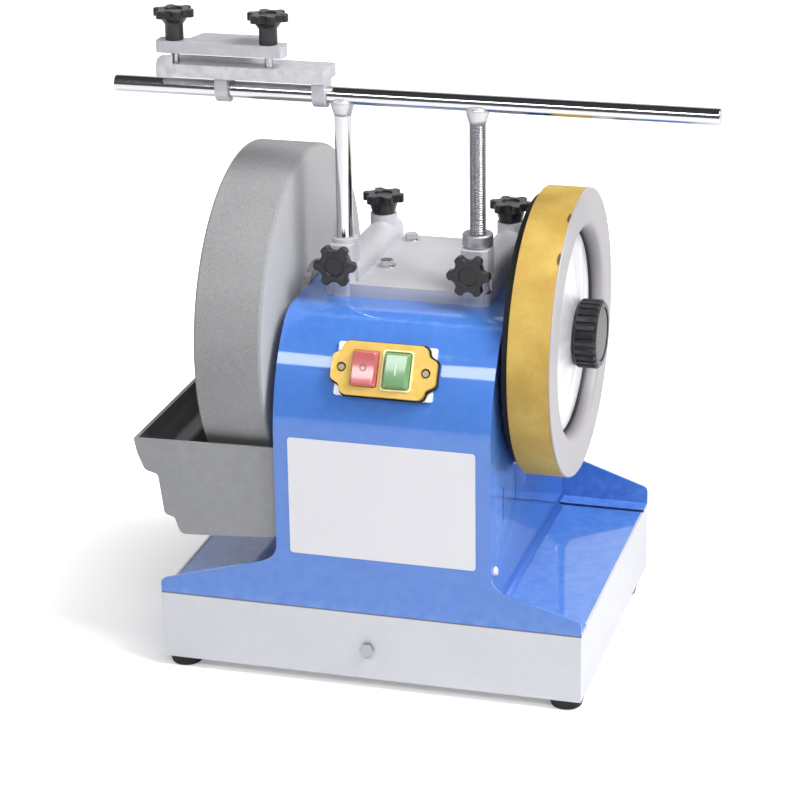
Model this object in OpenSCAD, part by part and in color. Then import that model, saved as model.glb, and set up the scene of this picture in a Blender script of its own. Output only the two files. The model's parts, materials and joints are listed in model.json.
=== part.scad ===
// Water-cooled knife grinder: grinding stone on the left, leather honing wheel on the right.
// Origin: on the floor, under the middle of the spindle and the middle of the housing's neck.
// +X runs along the spindle towards the honing wheel, +Y away from the user, +Z up.

/* [Base] */
// Base end left of the neck's middle
base_left = 169; // [150:1:200]
// Base end right of the neck's middle
base_right = 145; // [135:1:180]
// Depth of base and housing
base_depth = 246; // [236:1:280]
// Height of the base with its deck, without feet
base_height = 52; // [40:1:60]
// Thickness of the steel sheet
sheet = 2; // [1.2:0.1:2.4]
// Height of the rubber feet
foot_height = 8; // [6:1:14]
// Diameter of the rubber feet
foot_d = 26; // [16:1:28]
// Distance of the feet from the side and front edges
foot_inset = 13; // [13:1:24]
// Distance of the rear feet from the back edge
foot_back_inset = 38; // [13:1:60]

/* [Housing] */
// Width of the housing's neck
neck_width = 158; // [150:1:170]
// Height of the housing's flat top above the spindle
housing_rise = 31.5; // [30:0.5:43]
// Radius of the long lower bend of the shell
lower_bend_r = 110; // [90:1:112]
// Angle of the long lower bend
lower_bend_angle = 42; // [36:1:46]
// Radius of the tight upper bend
upper_bend_r = 35; // [25:1:45]
// Height of the front wings' ends above the deck
wing_end_height = 10; // [6:0.5:16]
// Slope of the front wings' tops in degrees
wing_slope = 15.8; // [10:0.2:18]
// Height of the rear wings' ends above the deck
rear_end_height = 14.5; // [8:0.5:18]
// Slope of the rear wings' tops in degrees
rear_slope = 19; // [12:0.5:20]
// Depth of the flanges that the wings stand on
wing_flange = 16.5; // [10:0.5:20]
// Fillet between wing and neck
wing_fillet = 15; // [8:1:20]
// Rounding of the wing ends
wing_end_r = 5; // [2:0.5:6]
// Depth of the side panels inside the neck edges
panel_inset = 2.4; // [2:0.1:3]
// Height of a vent slot
vent_height = 25; // [15:1:30]
// Width of a vent slot
vent_width = 2.6; // [1.5:0.1:4]
// Distance between vent slots
vent_pitch = 37; // [30:1:40]
// Distance of the vent slots' lower ends below the spindle
vent_drop = 120; // [115:1:133]

/* [Spindle] */
// Height of the spindle above the floor
spindle_height = 242; // [240:0.5:248]
// Diameter of the spindle
spindle_d = 12; // [10:0.5:14]
// Gap between the neck and each wheel
wheel_gap = 7; // [6.5:0.5:9]
// Diameter of the grinding stone
stone_d = 250; // [230:1:252]
// Width of the grinding stone
stone_width = 50; // [40:1:55]
// Diameter of the stone's clamping flanges
stone_flange_d = 80; // [60:1:100]
// Outer diameter of the honing wheel
honing_d = 210; // [206:1:216]
// Width of the honing wheel
honing_width = 31; // [28:1:34]
// Thickness of the leather band
leather_t = 2.5; // [2:0.1:4]
// Diameter of the recess in the wheel's face
recess_d = 149; // [120:1:160]
// Depth of the recess in the wheel's face
recess_depth = 12.5; // [10:0.5:14]
// Diameter of the hand knob
hand_knob_d = 50; // [42:1:54]
// Length of the hand knob
hand_knob_length = 18; // [15:0.5:24]
// Ribs round the hand knob
hand_knob_ribs = 26; // [12:1:28]

/* [Drive] */
// Outer diameter of the drive ring
drive_ring_d = 198; // [194:1:203]
// Radial thickness of the drive ring
drive_ring_t = 8; // [6:0.5:10]
// Diameter of the drive roller
roller_d = 14; // [12:0.5:18]
// Diameter of the motor casing
motor_d = 100; // [90:1:104]
// Length of the motor casing
motor_length = 72; // [60:1:80]
// Diameter of the motor shaft
motor_shaft_d = 10; // [8:0.5:11]

/* [Tool support] */
// Diameter of the support bar and its legs
bar_d = 12; // [10:0.5:14]
// Length of the support bar
bar_length = 438; // [400:1:460]
// Height of the bar's axis above the spindle
bar_rise = 175.5; // [163:0.5:188]
// Distance between the legs
leg_spacing = 98; // [94:1:106]
// Distance of the legs in front of the spindle
leg_offset = 37.5; // [34:0.5:40]
// Depth of the casting's plate
casting_depth = 125.5; // [118:0.5:132]
// Thickness of the casting's plate
casting_plate_t = 9.5; // [7:0.5:11]
// Height of the upright sleeves above the housing
sleeve_height = 40.5; // [38:0.5:46]
// Width of the upright sleeves
sleeve_width = 20; // [18:0.5:24]
// Diameter of the lying sleeves
lying_sleeve_d = 23; // [22:0.5:26]
// Diameter of the star knobs
star_knob_d = 31.5; // [28:0.5:36]
// Thickness of the star knobs' heads
star_knob_t = 6; // [5:0.5:9]
// Diameter of the knobs' clamping studs
stud_d = 8; // [6:0.5:8]
// Diameter of the adjusting nut
nut_d = 22; // [20:0.5:24]
// Height of the adjusting nut
nut_height = 9.8; // [8:0.2:12]

/* [Jig] */
// Length of the jig's body
jig_length = 124; // [120:1:130]
// Thickness of the jig's body
jig_body_t = 9; // [7:0.5:11]
// Depth of the jig's body
jig_depth = 31; // [29:0.5:34]
// Width of each hook round the bar
hook_width = 9.5; // [8:0.5:14]
// Wall of the hooks round the bar
hook_wall = 3; // [2.5:0.1:5]
// Opening between body and clamp plate
clamp_gap = 8; // [7:0.5:10]
// Thickness of the clamp plate
clamp_plate_t = 8.5; // [6:0.5:10]
// Width of the clamp plate
clamp_plate_width = 95; // [90:1:98]
// Distance between the clamp knobs
clamp_knob_spacing = 70; // [66:1:74]
// Diameter of the clamp studs
clamp_stud_d = 6; // [5:0.5:7]

/* [Tray] */
// Width of the tray at its rim
tray_width = 107; // [100:1:110]
// Length of the tray
tray_length = 236; // [228:1:238]
// Distance of the tray's rim below the spindle
tray_drop = 63.3; // [60:0.1:66]
// Height of the tray
tray_height = 72.5; // [70:0.5:75]
// Wall of the tray
tray_wall = 2.5; // [2:0.1:3]
// Width of the first step in the outer wall
tray_step = 10; // [8:0.5:12]
// Fall of the tray towards its outer wall, in degrees
tray_tilt = 1.15; // [0:0.05:1.5]
// Rise of the tray's floor towards the housing
floor_rise = 3.5; // [2:0.5:4]

/* [Switch] */
// Distance of the switch's middle from the neck's middle
switch_x = 1; // [-4:0.5:4]
// Place of the switch along the lower bend, in degrees above the upright front
switch_angle = 28.5; // [24:0.5:32]
// Width of the bare metal plate under the switch
switch_plate_width = 71.5; // [70:0.5:76]
// Height of the bare metal plate and the cover
switch_plate_height = 38; // [37:0.5:42]
// Width of the switch cover across its ears
switch_cover_width = 75.5; // [74:0.5:80]
// Thickness of the switch cover
switch_cover_t = 4.5; // [3.5:0.5:6]
// Width of a button
button_width = 19; // [17:0.5:20]
// Height of a button
button_height = 25.5; // [23:0.5:28]
// Distance between the buttons' middles
button_pitch = 23.5; // [22:0.5:24.5]
// How far the buttons stand out of the cover
button_rise = 5; // [4:0.5:8]
// How far a button can be pressed
button_travel = 3; // [2:0.5:4]

/* [Hidden] */
$fn = 64;

// Clearances between pieces
fit = 0.05;
slip = 0.3;
hole_play = 0.2;
cut = 1;

// Base
base_width = base_left + base_right;
base_middle = (base_right - base_left) / 2;
base_top = foot_height + base_height;
half_depth = base_depth / 2;
bolt_d = 6;
bolt_head_d = 11;
bolt_head_t = 4;
bolt_length = 14;
bolt_drop = 2;
bolt_height = foot_height + base_height / 2 - bolt_drop;
foot_taper = 4;
gland_inset = 45;
gland_x = base_right - gland_inset;
gland_d = 16;
gland_hex_d = gland_d + 8;
gland_hex_t = 5;
gland_bore = 8;
gland_length = 9;
gland_tail = 10;

// Housing
housing_top = spindle_height + housing_rise;
neck_half = neck_width / 2;
panel_face = neck_half - panel_inset;
lower_centre = [lower_bend_r - half_depth,
    housing_top - upper_bend_r - (lower_bend_r - upper_bend_r) * sin(lower_bend_angle)];
upper_centre = lower_centre
    + (lower_bend_r - upper_bend_r) * [-cos(lower_bend_angle), sin(lower_bend_angle)];
panel_screw_d = 4;
panel_screw_length = 10;
panel_screw_head_t = 2;
panel_screw_inset = 24;
panel_screw_rise = 32;
panel_screw_y = half_depth - panel_screw_inset;
panel_screw_z = base_top + panel_screw_rise;
vent_count = 5;
first_vent = -(vent_count - 1) / 2 * vent_pitch - vent_width / 2;

// Spindle
shaft_r = spindle_d / 2;
stone_inner = neck_half + wheel_gap;
stone_outer = stone_inner + stone_width;
flange_t = 5;
outer_flange_t = 7;
flange_edge = 2.5;
stone_nut_t = 8;
stone_nut_d = 22;
shaft_left = stone_outer + outer_flange_t + stone_nut_t + 2;
bush_d = 22;
bush_flange_d = 36;
bush_flange_t = 2.2;
bush_length = 22;
wheel_inner = neck_half + wheel_gap;
wheel_outer = wheel_inner + honing_width;
wheel_r = honing_d / 2 - leather_t;
rim_t = 8.5;
rim_lip = 1.2;
web_t = 4;
web_outer = wheel_outer - recess_depth;
hub_r = 20;
hub_inset = 4;
disc_t = 1.5;
disc_gap = 1.2;
disc_rim = 4;
disc_rise = 8;
hub_outer = web_outer + disc_rise;
knob_inner = hub_outer + disc_t;
shaft_right = knob_inner + hand_knob_length * 0.55;

// Drive
drive_ring_r = drive_ring_d / 2 - drive_ring_t;
drive_ring_inner = neck_half + 1.5;
drive_gap = 0.2;
motor_height = spindle_height - drive_ring_r + roller_d / 2 + drive_gap;
motor_wall = 4;
end_cap_t = 6;
cap_holes = 6;
cap_hole_d = 12;
rotor_d = 58;
rotor_gap = 1;
core_inset = 8;
core_length = motor_length - 2 * core_inset;
fan_d = 78;
fan_t = 9;
fan_sheet = 1.5;
fan_hub_d = motor_shaft_d + 14;
fan_blades = 6;
shaft_hole_d = 18;
cradle_width = 80;
cradle_length = 56;
cradle_foot_t = 3;
cradle_rib_t = 4;

// Tool support
bar_r = bar_d / 2;
bar_height = spindle_height + bar_rise;
leg_x = leg_spacing / 2;
leg_tail = 8;
leg_bottom = housing_top - sheet - leg_tail;
collar_r = bar_r + 2.2;
collar_height = 8;
plate_top = housing_top + casting_plate_t;
sleeve_top = housing_top + sleeve_height;
sleeve_front = leg_offset + 14;
sleeve_back = leg_offset - 11.5;
ringed_sleeve_width = sleeve_width - 3;
sleeve_ring_d = ringed_sleeve_width + 2;
sleeve_ring_t = 3;
plate_behind = 1;
casting_front = sleeve_front - plate_behind;
casting_back = casting_depth - casting_front;
foot_inner = leg_x - lying_sleeve_d / 2;
foot_outer = leg_x + lying_sleeve_d / 2;
foot_corner = 4;
lying_rise = 4.5;
lying_height = plate_top + lying_rise;
bore_wall = 5;
lying_bore_end = -sleeve_back + bore_wall;
sleeve_bore = bar_d + 2 * fit;
boss_d = 20;
boss_rise = 4.5;
boss_inset = 14;
rear_knob_y = casting_back - boss_inset;
boss_top = lying_height + lying_sleeve_d / 2 + boss_rise;
front_knob_rise = 26.5;
front_knob_z = housing_top + front_knob_rise;
knob_hub_d = 17;
knob_hub_l = 9;
knob_lobes = 6;
knob_dish = 1.2;
stud_depth = knob_hub_l + 2;
stud_play = 1;
casting_screw_d = 6;
casting_screw_hex = 10;
casting_screw_head_t = 5;
casting_nut_t = 4;
casting_tail = 5;
washer_d = casting_screw_hex + 3;
washer_t = 1;
casting_screw_x = 28;
casting_screw_front = -4;
casting_screw_inset = 12;
flat_end = -upper_centre[0] - casting_screw_hex / 2 - slip;
casting_screw_rows = [casting_screw_front, min(casting_back - casting_screw_inset, flat_end)];

// Jig
jig_standoff = 2.3;
jig_right = -leg_x - collar_r - jig_standoff;
jig_left = jig_right - jig_length;
jig_ahead = 11.5;
jig_front = -leg_offset - jig_ahead;
jig_lift = 3.5;
jig_bottom = bar_height + bar_r + jig_lift;
jig_top = jig_bottom + jig_body_t;
hook_r = bar_r + fit + hook_wall;
hook_pitch = 72;
hook_places = [jig_right - hook_width, jig_right - hook_pitch - hook_width];
stop_width = 9;
stop_depth = 3.5;
stop_inset = 4;
clamp_middle = jig_left + clamp_plate_width / 2;
clamp_bottom = jig_top + clamp_gap;
clamp_top = clamp_bottom + clamp_plate_t;
clamp_stud_inset = 7;
clamp_stud_y = jig_front + clamp_stud_inset;
clamp_stud_floor = 2;
clamp_knob_d = 30;
clamp_knob_hub_d = 13;
clamp_knob_hub_l = 16.5;
clamp_knob_flare = 5.5;
clamp_knob_t = 5.5;
clamp_bore_l = clamp_knob_hub_l + clamp_knob_t - 3;
clamp_stud_top = clamp_top + clamp_bore_l - clamp_gap - stud_play;

// Tray
tray_rim = spindle_height - tray_drop;
tray_inner = -neck_half - 1;
tray_outer = tray_inner - tray_width;
tray_floor = tray_rim - tray_height;
hanger_height = 16;
hanger_length = 150;
hanger_lip_t = 1.8;

// Switch, in a frame whose Z points out of the shell
switch_y = lower_centre[0] - lower_bend_r * cos(switch_angle);
switch_z = lower_centre[1] + lower_bend_r * sin(switch_angle);
back_plate_t = 1;
plate_corner = 1.5;
gasket_t = 2;
gasket_edge = 1;
cover_bottom = back_plate_t + gasket_t;
cover_top = cover_bottom + switch_cover_t;
cover_body_width = 58.6;
cover_corner = 5;
ear_half = 10;
ear_hollow = 2;
ear_slope = 1.5;
ear_corner = 4;
hollow_r = 3;
buttons_x = -1.7;
button_tops = cover_top + button_rise;
button_bottoms = back_plate_t + 0.5;
button_play = 0.3;
button_corner = 1.8;
button_edge = 1.5;
switch_box_width = 50;
switch_box_height = 33;
switch_box_corner = 2;
switch_box_play = 0.5;
switch_box_top = button_bottoms - button_travel - switch_box_play;
switch_box_depth = 28;
switch_hole = [switch_box_width + 2 * switch_box_play, switch_box_height + 2 * switch_box_play];
switch_screw_d = 4;
switch_screw_head = 6.4;
switch_screw_head_t = 1.6;
switch_screw_sink = 2.4;
switch_screw_tail = 6;
switch_screw_inset = 7.25;
switch_screw_x = switch_cover_width / 2 - switch_screw_inset;

// Corner rounding of outlines: an arc of radius r at b, between a and c
function unit(v) = v / norm(v);
function corner(a, b, c, r, steps) =
    let (u = unit(a - b),
        v = unit(c - b),
        half = acos(u * v) / 2,
        middle = b + unit(u + v) * r / sin(half),
        p = b + u * r / tan(half) - middle,
        q = b + v * r / tan(half) - middle,
        start = atan2(p[1], p[0]),
        turn = atan2(p[0] * q[1] - p[1] * q[0], p * q))
    [for (i = [0:steps]) middle + r * [cos(start + turn * i / steps), sin(start + turn * i / steps)]];
function rounded(points, radii, steps = 6) =
    let (n = len(points))
    [for (i = [0:n - 1])
        each radii[i] > 0
            ? corner(points[(i + n - 1) % n], points[i], points[(i + 1) % n], radii[i], steps)
            : [points[i]]];

// Turns a piece made along Z so that it runs along +X
module along_x() {
    rotate([0, 90, 0]) children();
}

// Extrudes an outline drawn in Y and Z along X, from x to x + length
module side_extrude(x, length) {
    translate([x, 0, 0]) rotate([90, 0, 90]) linear_extrude(height = length) children();
}

module ring(outer_r, inner_r, length) {
    difference() {
        cylinder(r = outer_r, h = length);
        translate([0, 0, -cut]) cylinder(r = inner_r, h = length + 2 * cut);
    }
}

module on_spindle() {
    translate([0, 0, spindle_height]) along_x() children();
}

module on_motor() {
    translate([0, 0, motor_height]) along_x() children();
}

module on_switch() {
    translate([switch_x, switch_y, switch_z]) rotate([90 - switch_angle, 0, 0]) children();
}

module switch_screw_places() {
    for (x = [-switch_screw_x, switch_screw_x]) translate([x, 0, 0]) children();
}

module casting_screw_places() {
    for (x = [-casting_screw_x, casting_screw_x])
        for (y = casting_screw_rows) translate([x, y, 0]) children();
}

// A block with upright edges rounded, standing on Z = 0
module slab(size, height, r) {
    x = size[0] / 2;
    y = size[1] / 2;
    linear_extrude(height = height) polygon(rounded([[-x, -y], [x, -y], [x, y], [-x, y]], [r, r, r, r]));
}

// A wedge of the circle round centre, between two angles
module pie(centre, r, from, to) {
    far = 2 * r;
    translate(centre) intersection() {
        circle(r = r, $fn = 128);
        polygon([[0, 0], far * [cos(from), sin(from)], far * [cos(to), sin(to)]]);
    }
}

// Side outline of the housing, drawn in Y and Z, moved in by inset
module housing_outline(inset, bottom) {
    reach = half_depth - inset;
    bend = lower_bend_r - inset;
    bend_end = lower_centre + bend * [-cos(lower_bend_angle), sin(lower_bend_angle)];
    crown = housing_top - inset;
    union() {
        polygon([[-reach, bottom], [reach, bottom], [reach, lower_centre[1]], [-bend_end[0], bend_end[1]],
            [-upper_centre[0], crown], [upper_centre[0], crown], bend_end, [-reach, lower_centre[1]]]);
        for (side = [0, 1]) mirror([side, 0]) {
            pie(lower_centre, bend, 180 - lower_bend_angle, 180);
            pie(upper_centre, upper_bend_r - inset, 90, 180 - lower_bend_angle);
        }
    }
}

// Front outline of a pair of wings, drawn in X and Z
module wing_outline(end_height, slope) {
    end_top = base_top + end_height;
    left_rise = end_top + (base_left - neck_half) * tan(slope);
    right_rise = end_top + (base_right - neck_half) * tan(slope);
    neck_end = lower_centre[1];
    polygon(rounded([[-base_left, base_top], [-base_left, end_top], [-neck_half, left_rise],
        [-neck_half, neck_end], [neck_half, neck_end], [neck_half, right_rise],
        [base_right, end_top], [base_right, base_top]],
        [0, wing_end_r, wing_fillet, 0, 0, wing_fillet, wing_end_r, 0]));
}

// A pair of wings in one sheet, with its outer face at y and its flange running inwards
module wing_pair(y, end_height, slope) {
    face = y < 0 ? y + sheet : y;
    inward = y < 0 ? y : y - wing_flange;
    translate([0, face, 0]) rotate([90, 0, 0]) linear_extrude(height = sheet)
        wing_outline(end_height, slope);
    translate([-base_left, inward, base_top]) cube([base_left - neck_half + cut, wing_flange, sheet]);
    translate([neck_half - cut, inward, base_top]) cube([base_right - neck_half + cut, wing_flange, sheet]);
}

module base_pan() {
    color("gainsboro") difference() {
        translate([-base_left, -half_depth, foot_height]) cube([base_width, base_depth, base_height]);
        translate([sheet - base_left, sheet - half_depth, foot_height + sheet])
            cube([base_width - 2 * sheet, base_depth - 2 * sheet, base_height]);
        translate([base_middle, 0, bolt_height]) rotate([90, 0, 0])
            cylinder(d = bolt_d + 2 * fit, h = base_depth);
        translate([gland_x, 0, bolt_height]) rotate([-90, 0, 0])
            cylinder(d = gland_d + 2 * fit, h = base_depth);
    }
}

module rubber_feet() {
    color("black") for (x = [foot_inset - base_left, base_right - foot_inset])
        for (y = [foot_inset - half_depth, half_depth - foot_back_inset])
            translate([x, y, 0]) cylinder(d1 = foot_d - foot_taper, d2 = foot_d, h = foot_height);
}

module base_bolt() {
    color("silver") translate([base_middle, -half_depth, bolt_height]) rotate([90, 0, 0]) {
        cylinder(d = bolt_head_d, h = bolt_head_t, $fn = 6);
        translate([0, 0, -bolt_length]) cylinder(d = bolt_d, h = bolt_length + cut);
    }
}

// The deck lies between the pan's walls, flush with their upper edges
module deck_plate() {
    color("royalblue") translate([sheet - base_left, sheet - half_depth, base_top - sheet])
        cube([base_width - 2 * sheet, base_depth - 2 * sheet, sheet]);
}

module housing_shell() {
    above = 2 * upper_bend_r;
    color("royalblue") difference() {
        union() {
            side_extrude(-neck_half, neck_width) difference() {
                housing_outline(0, base_top);
                housing_outline(sheet, base_top - cut);
            }
            wing_pair(-half_depth, wing_end_height, wing_slope);
            wing_pair(half_depth, rear_end_height, rear_slope);
        }
        for (x = [-leg_x, leg_x])
            translate([x, -leg_offset, housing_top - upper_bend_r]) cylinder(d = bar_d + 1, h = above);
        casting_screw_places() translate([0, 0, housing_top - upper_bend_r])
            cylinder(d = casting_screw_d + 2 * hole_play, h = above);
        on_switch() translate([0, 0, -switch_box_depth]) {
            slab(switch_hole, 2 * switch_box_depth, switch_box_corner);
            switch_screw_places() cylinder(d = switch_screw_d + 2 * fit, h = 2 * switch_box_depth);
        }
    }
}

// A side panel as cut from sheet, standing on X = 0 with its outer face at +X
module side_panel_blank() {
    difference() {
        side_extrude(panel_face - sheet, sheet) housing_outline(sheet + slip, base_top);
        on_spindle() cylinder(d = bush_d + 2 * fit, h = neck_width);
        for (i = [0:vent_count - 1])
            translate([0, first_vent + i * vent_pitch, spindle_height - vent_drop])
                cube([neck_width, vent_width, vent_height]);
        for (y = [-panel_screw_y, panel_screw_y])
            translate([0, y, panel_screw_z]) along_x()
                cylinder(d = panel_screw_d + 2 * fit, h = neck_width);
    }
}

module side_panel_left() {
    color("royalblue") mirror([1, 0, 0]) side_panel_blank();
}

module side_panel_right() {
    color("royalblue") difference() {
        side_panel_blank();
        on_motor() cylinder(d = shaft_hole_d, h = neck_width);
    }
}

module panel_screws() {
    color("silver") for (side = [0, 1]) mirror([side, 0, 0]) for (y = [-panel_screw_y, panel_screw_y])
        translate([panel_face, y, panel_screw_z]) along_x() {
            cylinder(d1 = 2 * panel_screw_d, d2 = panel_screw_d + 1, h = panel_screw_head_t);
            translate([0, 0, -panel_screw_length])
                cylinder(d = panel_screw_d, h = panel_screw_length + cut);
        }
}

module tray_hanger() {
    color("silver") translate([-panel_face - hanger_depth(), -hanger_length / 2,
        tray_rim - hanger_lip_t - hanger_height])
        cube([hanger_depth(), hanger_length, hanger_height]);
}

// Room for the hanger between the side panel and the tray's inner wall
function hanger_depth() = -tray_inner - panel_face - slip;

module cable_gland() {
    through = gland_length + gland_tail + 2 * cut;
    color("dimgray") translate([gland_x, half_depth, bolt_height]) rotate([-90, 0, 0]) difference() {
        union() {
            cylinder(d = gland_hex_d, h = gland_hex_t, $fn = 6);
            translate([0, 0, -gland_tail]) cylinder(d = gland_d, h = gland_tail + cut);
            cylinder(d1 = gland_d + 4, d2 = gland_bore + 3, h = gland_length);
        }
        translate([0, 0, -gland_tail - cut]) cylinder(d = gland_bore, h = through);
    }
}

// The casting's plate between its two sleeve blocks
module casting_plate() {
    color("lightgray") difference() {
        translate([-foot_inner, -casting_front, housing_top])
            cube([2 * foot_inner, casting_depth, casting_plate_t]);
        casting_screw_places() translate([0, 0, housing_top - cut])
            cylinder(d = casting_screw_d + 2 * hole_play, h = casting_plate_t + 2 * cut);
    }
}

// One sleeve block of the casting, at +X: an upright sleeve crossing the end of a lying one on one foot
module casting_sleeves(ringed) {
    upright_width = ringed ? ringed_sleeve_width : sleeve_width;
    upright_height = ringed ? sleeve_height - sleeve_ring_t : sleeve_height;
    sleeve_depth = sleeve_front - sleeve_back;
    lying_length = casting_back + sleeve_back + cut;
    difference() {
        union() {
            translate([0, 0, housing_top]) linear_extrude(height = casting_plate_t)
                polygon(rounded([[foot_inner, -casting_front], [foot_outer, -casting_front],
                    [foot_outer, casting_back], [foot_inner, casting_back]],
                    [0, foot_corner, foot_corner, 0]));
            translate([leg_x, -(sleeve_front + sleeve_back) / 2, housing_top])
                slab([upright_width, sleeve_depth], upright_height, 5);
            if (ringed) translate([leg_x, -leg_offset, sleeve_top - 2 * sleeve_ring_t])
                cylinder(d = sleeve_ring_d, h = 2 * sleeve_ring_t);
            translate([foot_inner, -sleeve_back - cut, housing_top])
                cube([lying_sleeve_d, lying_length, lying_height - housing_top]);
            translate([leg_x, -sleeve_back - cut, lying_height]) rotate([-90, 0, 0])
                cylinder(d = lying_sleeve_d, h = lying_length);
            translate([leg_x, rear_knob_y, lying_height]) cylinder(d = boss_d, h = boss_top - lying_height);
        }
        translate([leg_x, -leg_offset, housing_top - cut])
            cylinder(d = sleeve_bore, h = sleeve_height + 2 * cut);
        translate([leg_x, lying_bore_end, lying_height]) rotate([-90, 0, 0])
            cylinder(d = sleeve_bore, h = casting_depth);
        translate([leg_x, -leg_offset, front_knob_z]) rotate([90, 0, 0])
            cylinder(d = stud_d + 2 * fit, h = sleeve_front);
        translate([leg_x, rear_knob_y, lying_height])
            cylinder(d = stud_d + 2 * fit, h = boss_top - lying_height + cut);
    }
}

module casting_sleeves_left() {
    color("lightgray") mirror([1, 0, 0]) casting_sleeves(true);
}

module casting_sleeves_right() {
    color("lightgray") casting_sleeves(false);
}

module casting_screws() {
    grip = casting_plate_t + sheet;
    color("silver") casting_screw_places() translate([0, 0, plate_top]) {
        cylinder(d = washer_d, h = washer_t);
        cylinder(d = casting_screw_hex, h = casting_screw_head_t, $fn = 6);
        translate([0, 0, -grip - casting_tail])
            cylinder(d = casting_screw_d, h = grip + casting_tail + cut);
        translate([0, 0, -grip - casting_nut_t])
            cylinder(d = casting_screw_hex, h = casting_nut_t, $fn = 6);
    }
}

module switch_back_plate() {
    color("silver") difference() {
        on_switch() difference() {
            translate([0, 0, -sheet])
                slab([switch_plate_width, switch_plate_height], sheet + back_plate_t, plate_corner);
            translate([0, 0, -2 * sheet]) {
                slab(switch_hole, 4 * sheet + back_plate_t, switch_box_corner);
                switch_screw_places() cylinder(d = switch_screw_d + 2 * fit, h = 4 * sheet);
            }
        }
        translate([-neck_half, lower_centre[0], lower_centre[1]]) along_x()
            cylinder(r = lower_bend_r + fit, h = neck_width, $fn = 360);
    }
}

// Upper right quarter of the cover's outline: the end of the ear, the hollow and the body's corner
function ear_points(grow) = [
    [switch_cover_width / 2 + grow, ear_half + grow - ear_slope],
    [cover_body_width / 2 + grow + ear_hollow, ear_half + grow + ear_hollow],
    [cover_body_width / 2 + grow, switch_plate_height / 2 + grow]];

// Outline of cover and gasket: a rounded body whose ends swell into ears round the screws
module cover_outline(grow) {
    upper = ear_points(grow);
    lower = [for (i = [2:-1:0]) [upper[i][0], -upper[i][1]]];
    right = concat(lower, upper);
    radii = [cover_corner, hollow_r, ear_corner, ear_corner, hollow_r, cover_corner];
    polygon(rounded(concat(right, -right), concat(radii, radii)));
}

module switch_gasket() {
    color("black") on_switch() translate([0, 0, back_plate_t]) difference() {
        linear_extrude(height = gasket_t) difference() {
            cover_outline(gasket_edge);
            square(switch_hole, center = true);
        }
        switch_screw_places() translate([0, 0, -cut])
            cylinder(d = switch_screw_d + 2 * fit, h = gasket_t + 2 * cut);
    }
}

module button_places() {
    for (side = [-1, 1]) translate([buttons_x + side * button_pitch / 2, 0, 0]) children();
}

module switch_cover() {
    button_hole = [button_width + 2 * button_play, button_height + 2 * button_play];
    color("gold") on_switch() difference() {
        translate([0, 0, cover_bottom]) linear_extrude(height = switch_cover_t) cover_outline(0);
        translate([0, 0, cover_bottom - cut]) {
            button_places() slab(button_hole, switch_cover_t + 2 * cut, button_corner);
            switch_screw_places() cylinder(d = switch_screw_d + 2 * fit, h = 2 * switch_cover_t);
        }
        switch_screw_places() translate([0, 0, cover_top - switch_screw_sink])
            cylinder(d = switch_screw_head + 2 * slip, h = switch_screw_sink + cut);
    }
}

module switch_box() {
    well = [button_pitch + button_width + 2 * switch_box_play, button_height + 2 * switch_box_play];
    rim = cover_bottom - switch_box_top;
    color("black") on_switch() {
        translate([0, 0, switch_box_top - switch_box_depth])
            slab([switch_box_width, switch_box_height], switch_box_depth, switch_box_corner);
        difference() {
            translate([0, 0, switch_box_top - cut])
                slab([switch_box_width, switch_box_height], rim + cut, switch_box_corner);
            translate([buttons_x, 0, switch_box_top]) slab(well, 2 * cover_bottom, switch_box_corner);
        }
    }
}

// Screws sunk in the cover's ears, through gasket and plate into the shell
module switch_screws() {
    seat = cover_top - switch_screw_sink;
    color("silver") on_switch() switch_screw_places() {
        translate([0, 0, seat])
            cylinder(d1 = switch_screw_head, d2 = switch_screw_head - 2, h = switch_screw_head_t);
        translate([0, 0, -switch_screw_tail])
            cylinder(d = switch_screw_d, h = switch_screw_tail + seat + switch_screw_head_t / 2);
    }
}

// A push button with its upper edges drawn in by a step
module push_button() {
    body = button_tops - button_bottoms - button_edge;
    slab([button_width, button_height], body, button_corner);
    translate([0, 0, body])
        slab([button_width - button_edge, button_height - button_edge], button_edge, button_corner);
}

module stop_button() {
    color("firebrick") on_switch()
        translate([buttons_x - button_pitch / 2, 0, button_bottoms]) push_button();
}

module start_button() {
    color("forestgreen") on_switch()
        translate([buttons_x + button_pitch / 2, 0, button_bottoms]) push_button();
}

module motor_casing() {
    color("dimgray") on_motor() translate([0, 0, -motor_length / 2])
        ring(motor_d / 2, motor_d / 2 - motor_wall, motor_length);
}

module motor_end_cap() {
    boss_r = motor_shaft_d / 2 + 8;
    on_motor() translate([0, 0, motor_length / 2]) difference() {
        union() {
            cylinder(d = motor_d, h = end_cap_t);
            cylinder(r = boss_r, h = end_cap_t + 3);
        }
        translate([0, 0, -cut]) cylinder(d = motor_shaft_d + 2 * fit, h = 2 * end_cap_t);
        for (i = [0:cap_holes - 1]) rotate(360 / cap_holes * i)
            translate([motor_d / 3.2, 0, -cut]) cylinder(d = cap_hole_d, h = 2 * end_cap_t);
    }
}

module motor_end_cap_left() {
    color("silver") mirror([1, 0, 0]) motor_end_cap();
}

module motor_end_cap_right() {
    color("silver") motor_end_cap();
}

module stator_core() {
    color("darkgray") on_motor() translate([0, 0, -core_length / 2])
        ring(motor_d / 2 - motor_wall - fit, rotor_d / 2 + rotor_gap, core_length);
}

module motor_cradle() {
    color("slategray") {
        translate([-cradle_length / 2, -cradle_width / 2, base_top])
            cube([cradle_length, cradle_width, cradle_foot_t]);
        difference() {
            for (x = [-cradle_length / 2, cradle_length / 2 - cradle_rib_t])
                translate([x, -cradle_width / 2, base_top])
                    cube([cradle_rib_t, cradle_width, motor_height - motor_d / 4 - base_top]);
            on_motor() translate([0, 0, -motor_length])
                cylinder(d = motor_d + 2 * fit, h = 2 * motor_length);
        }
    }
}

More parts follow.
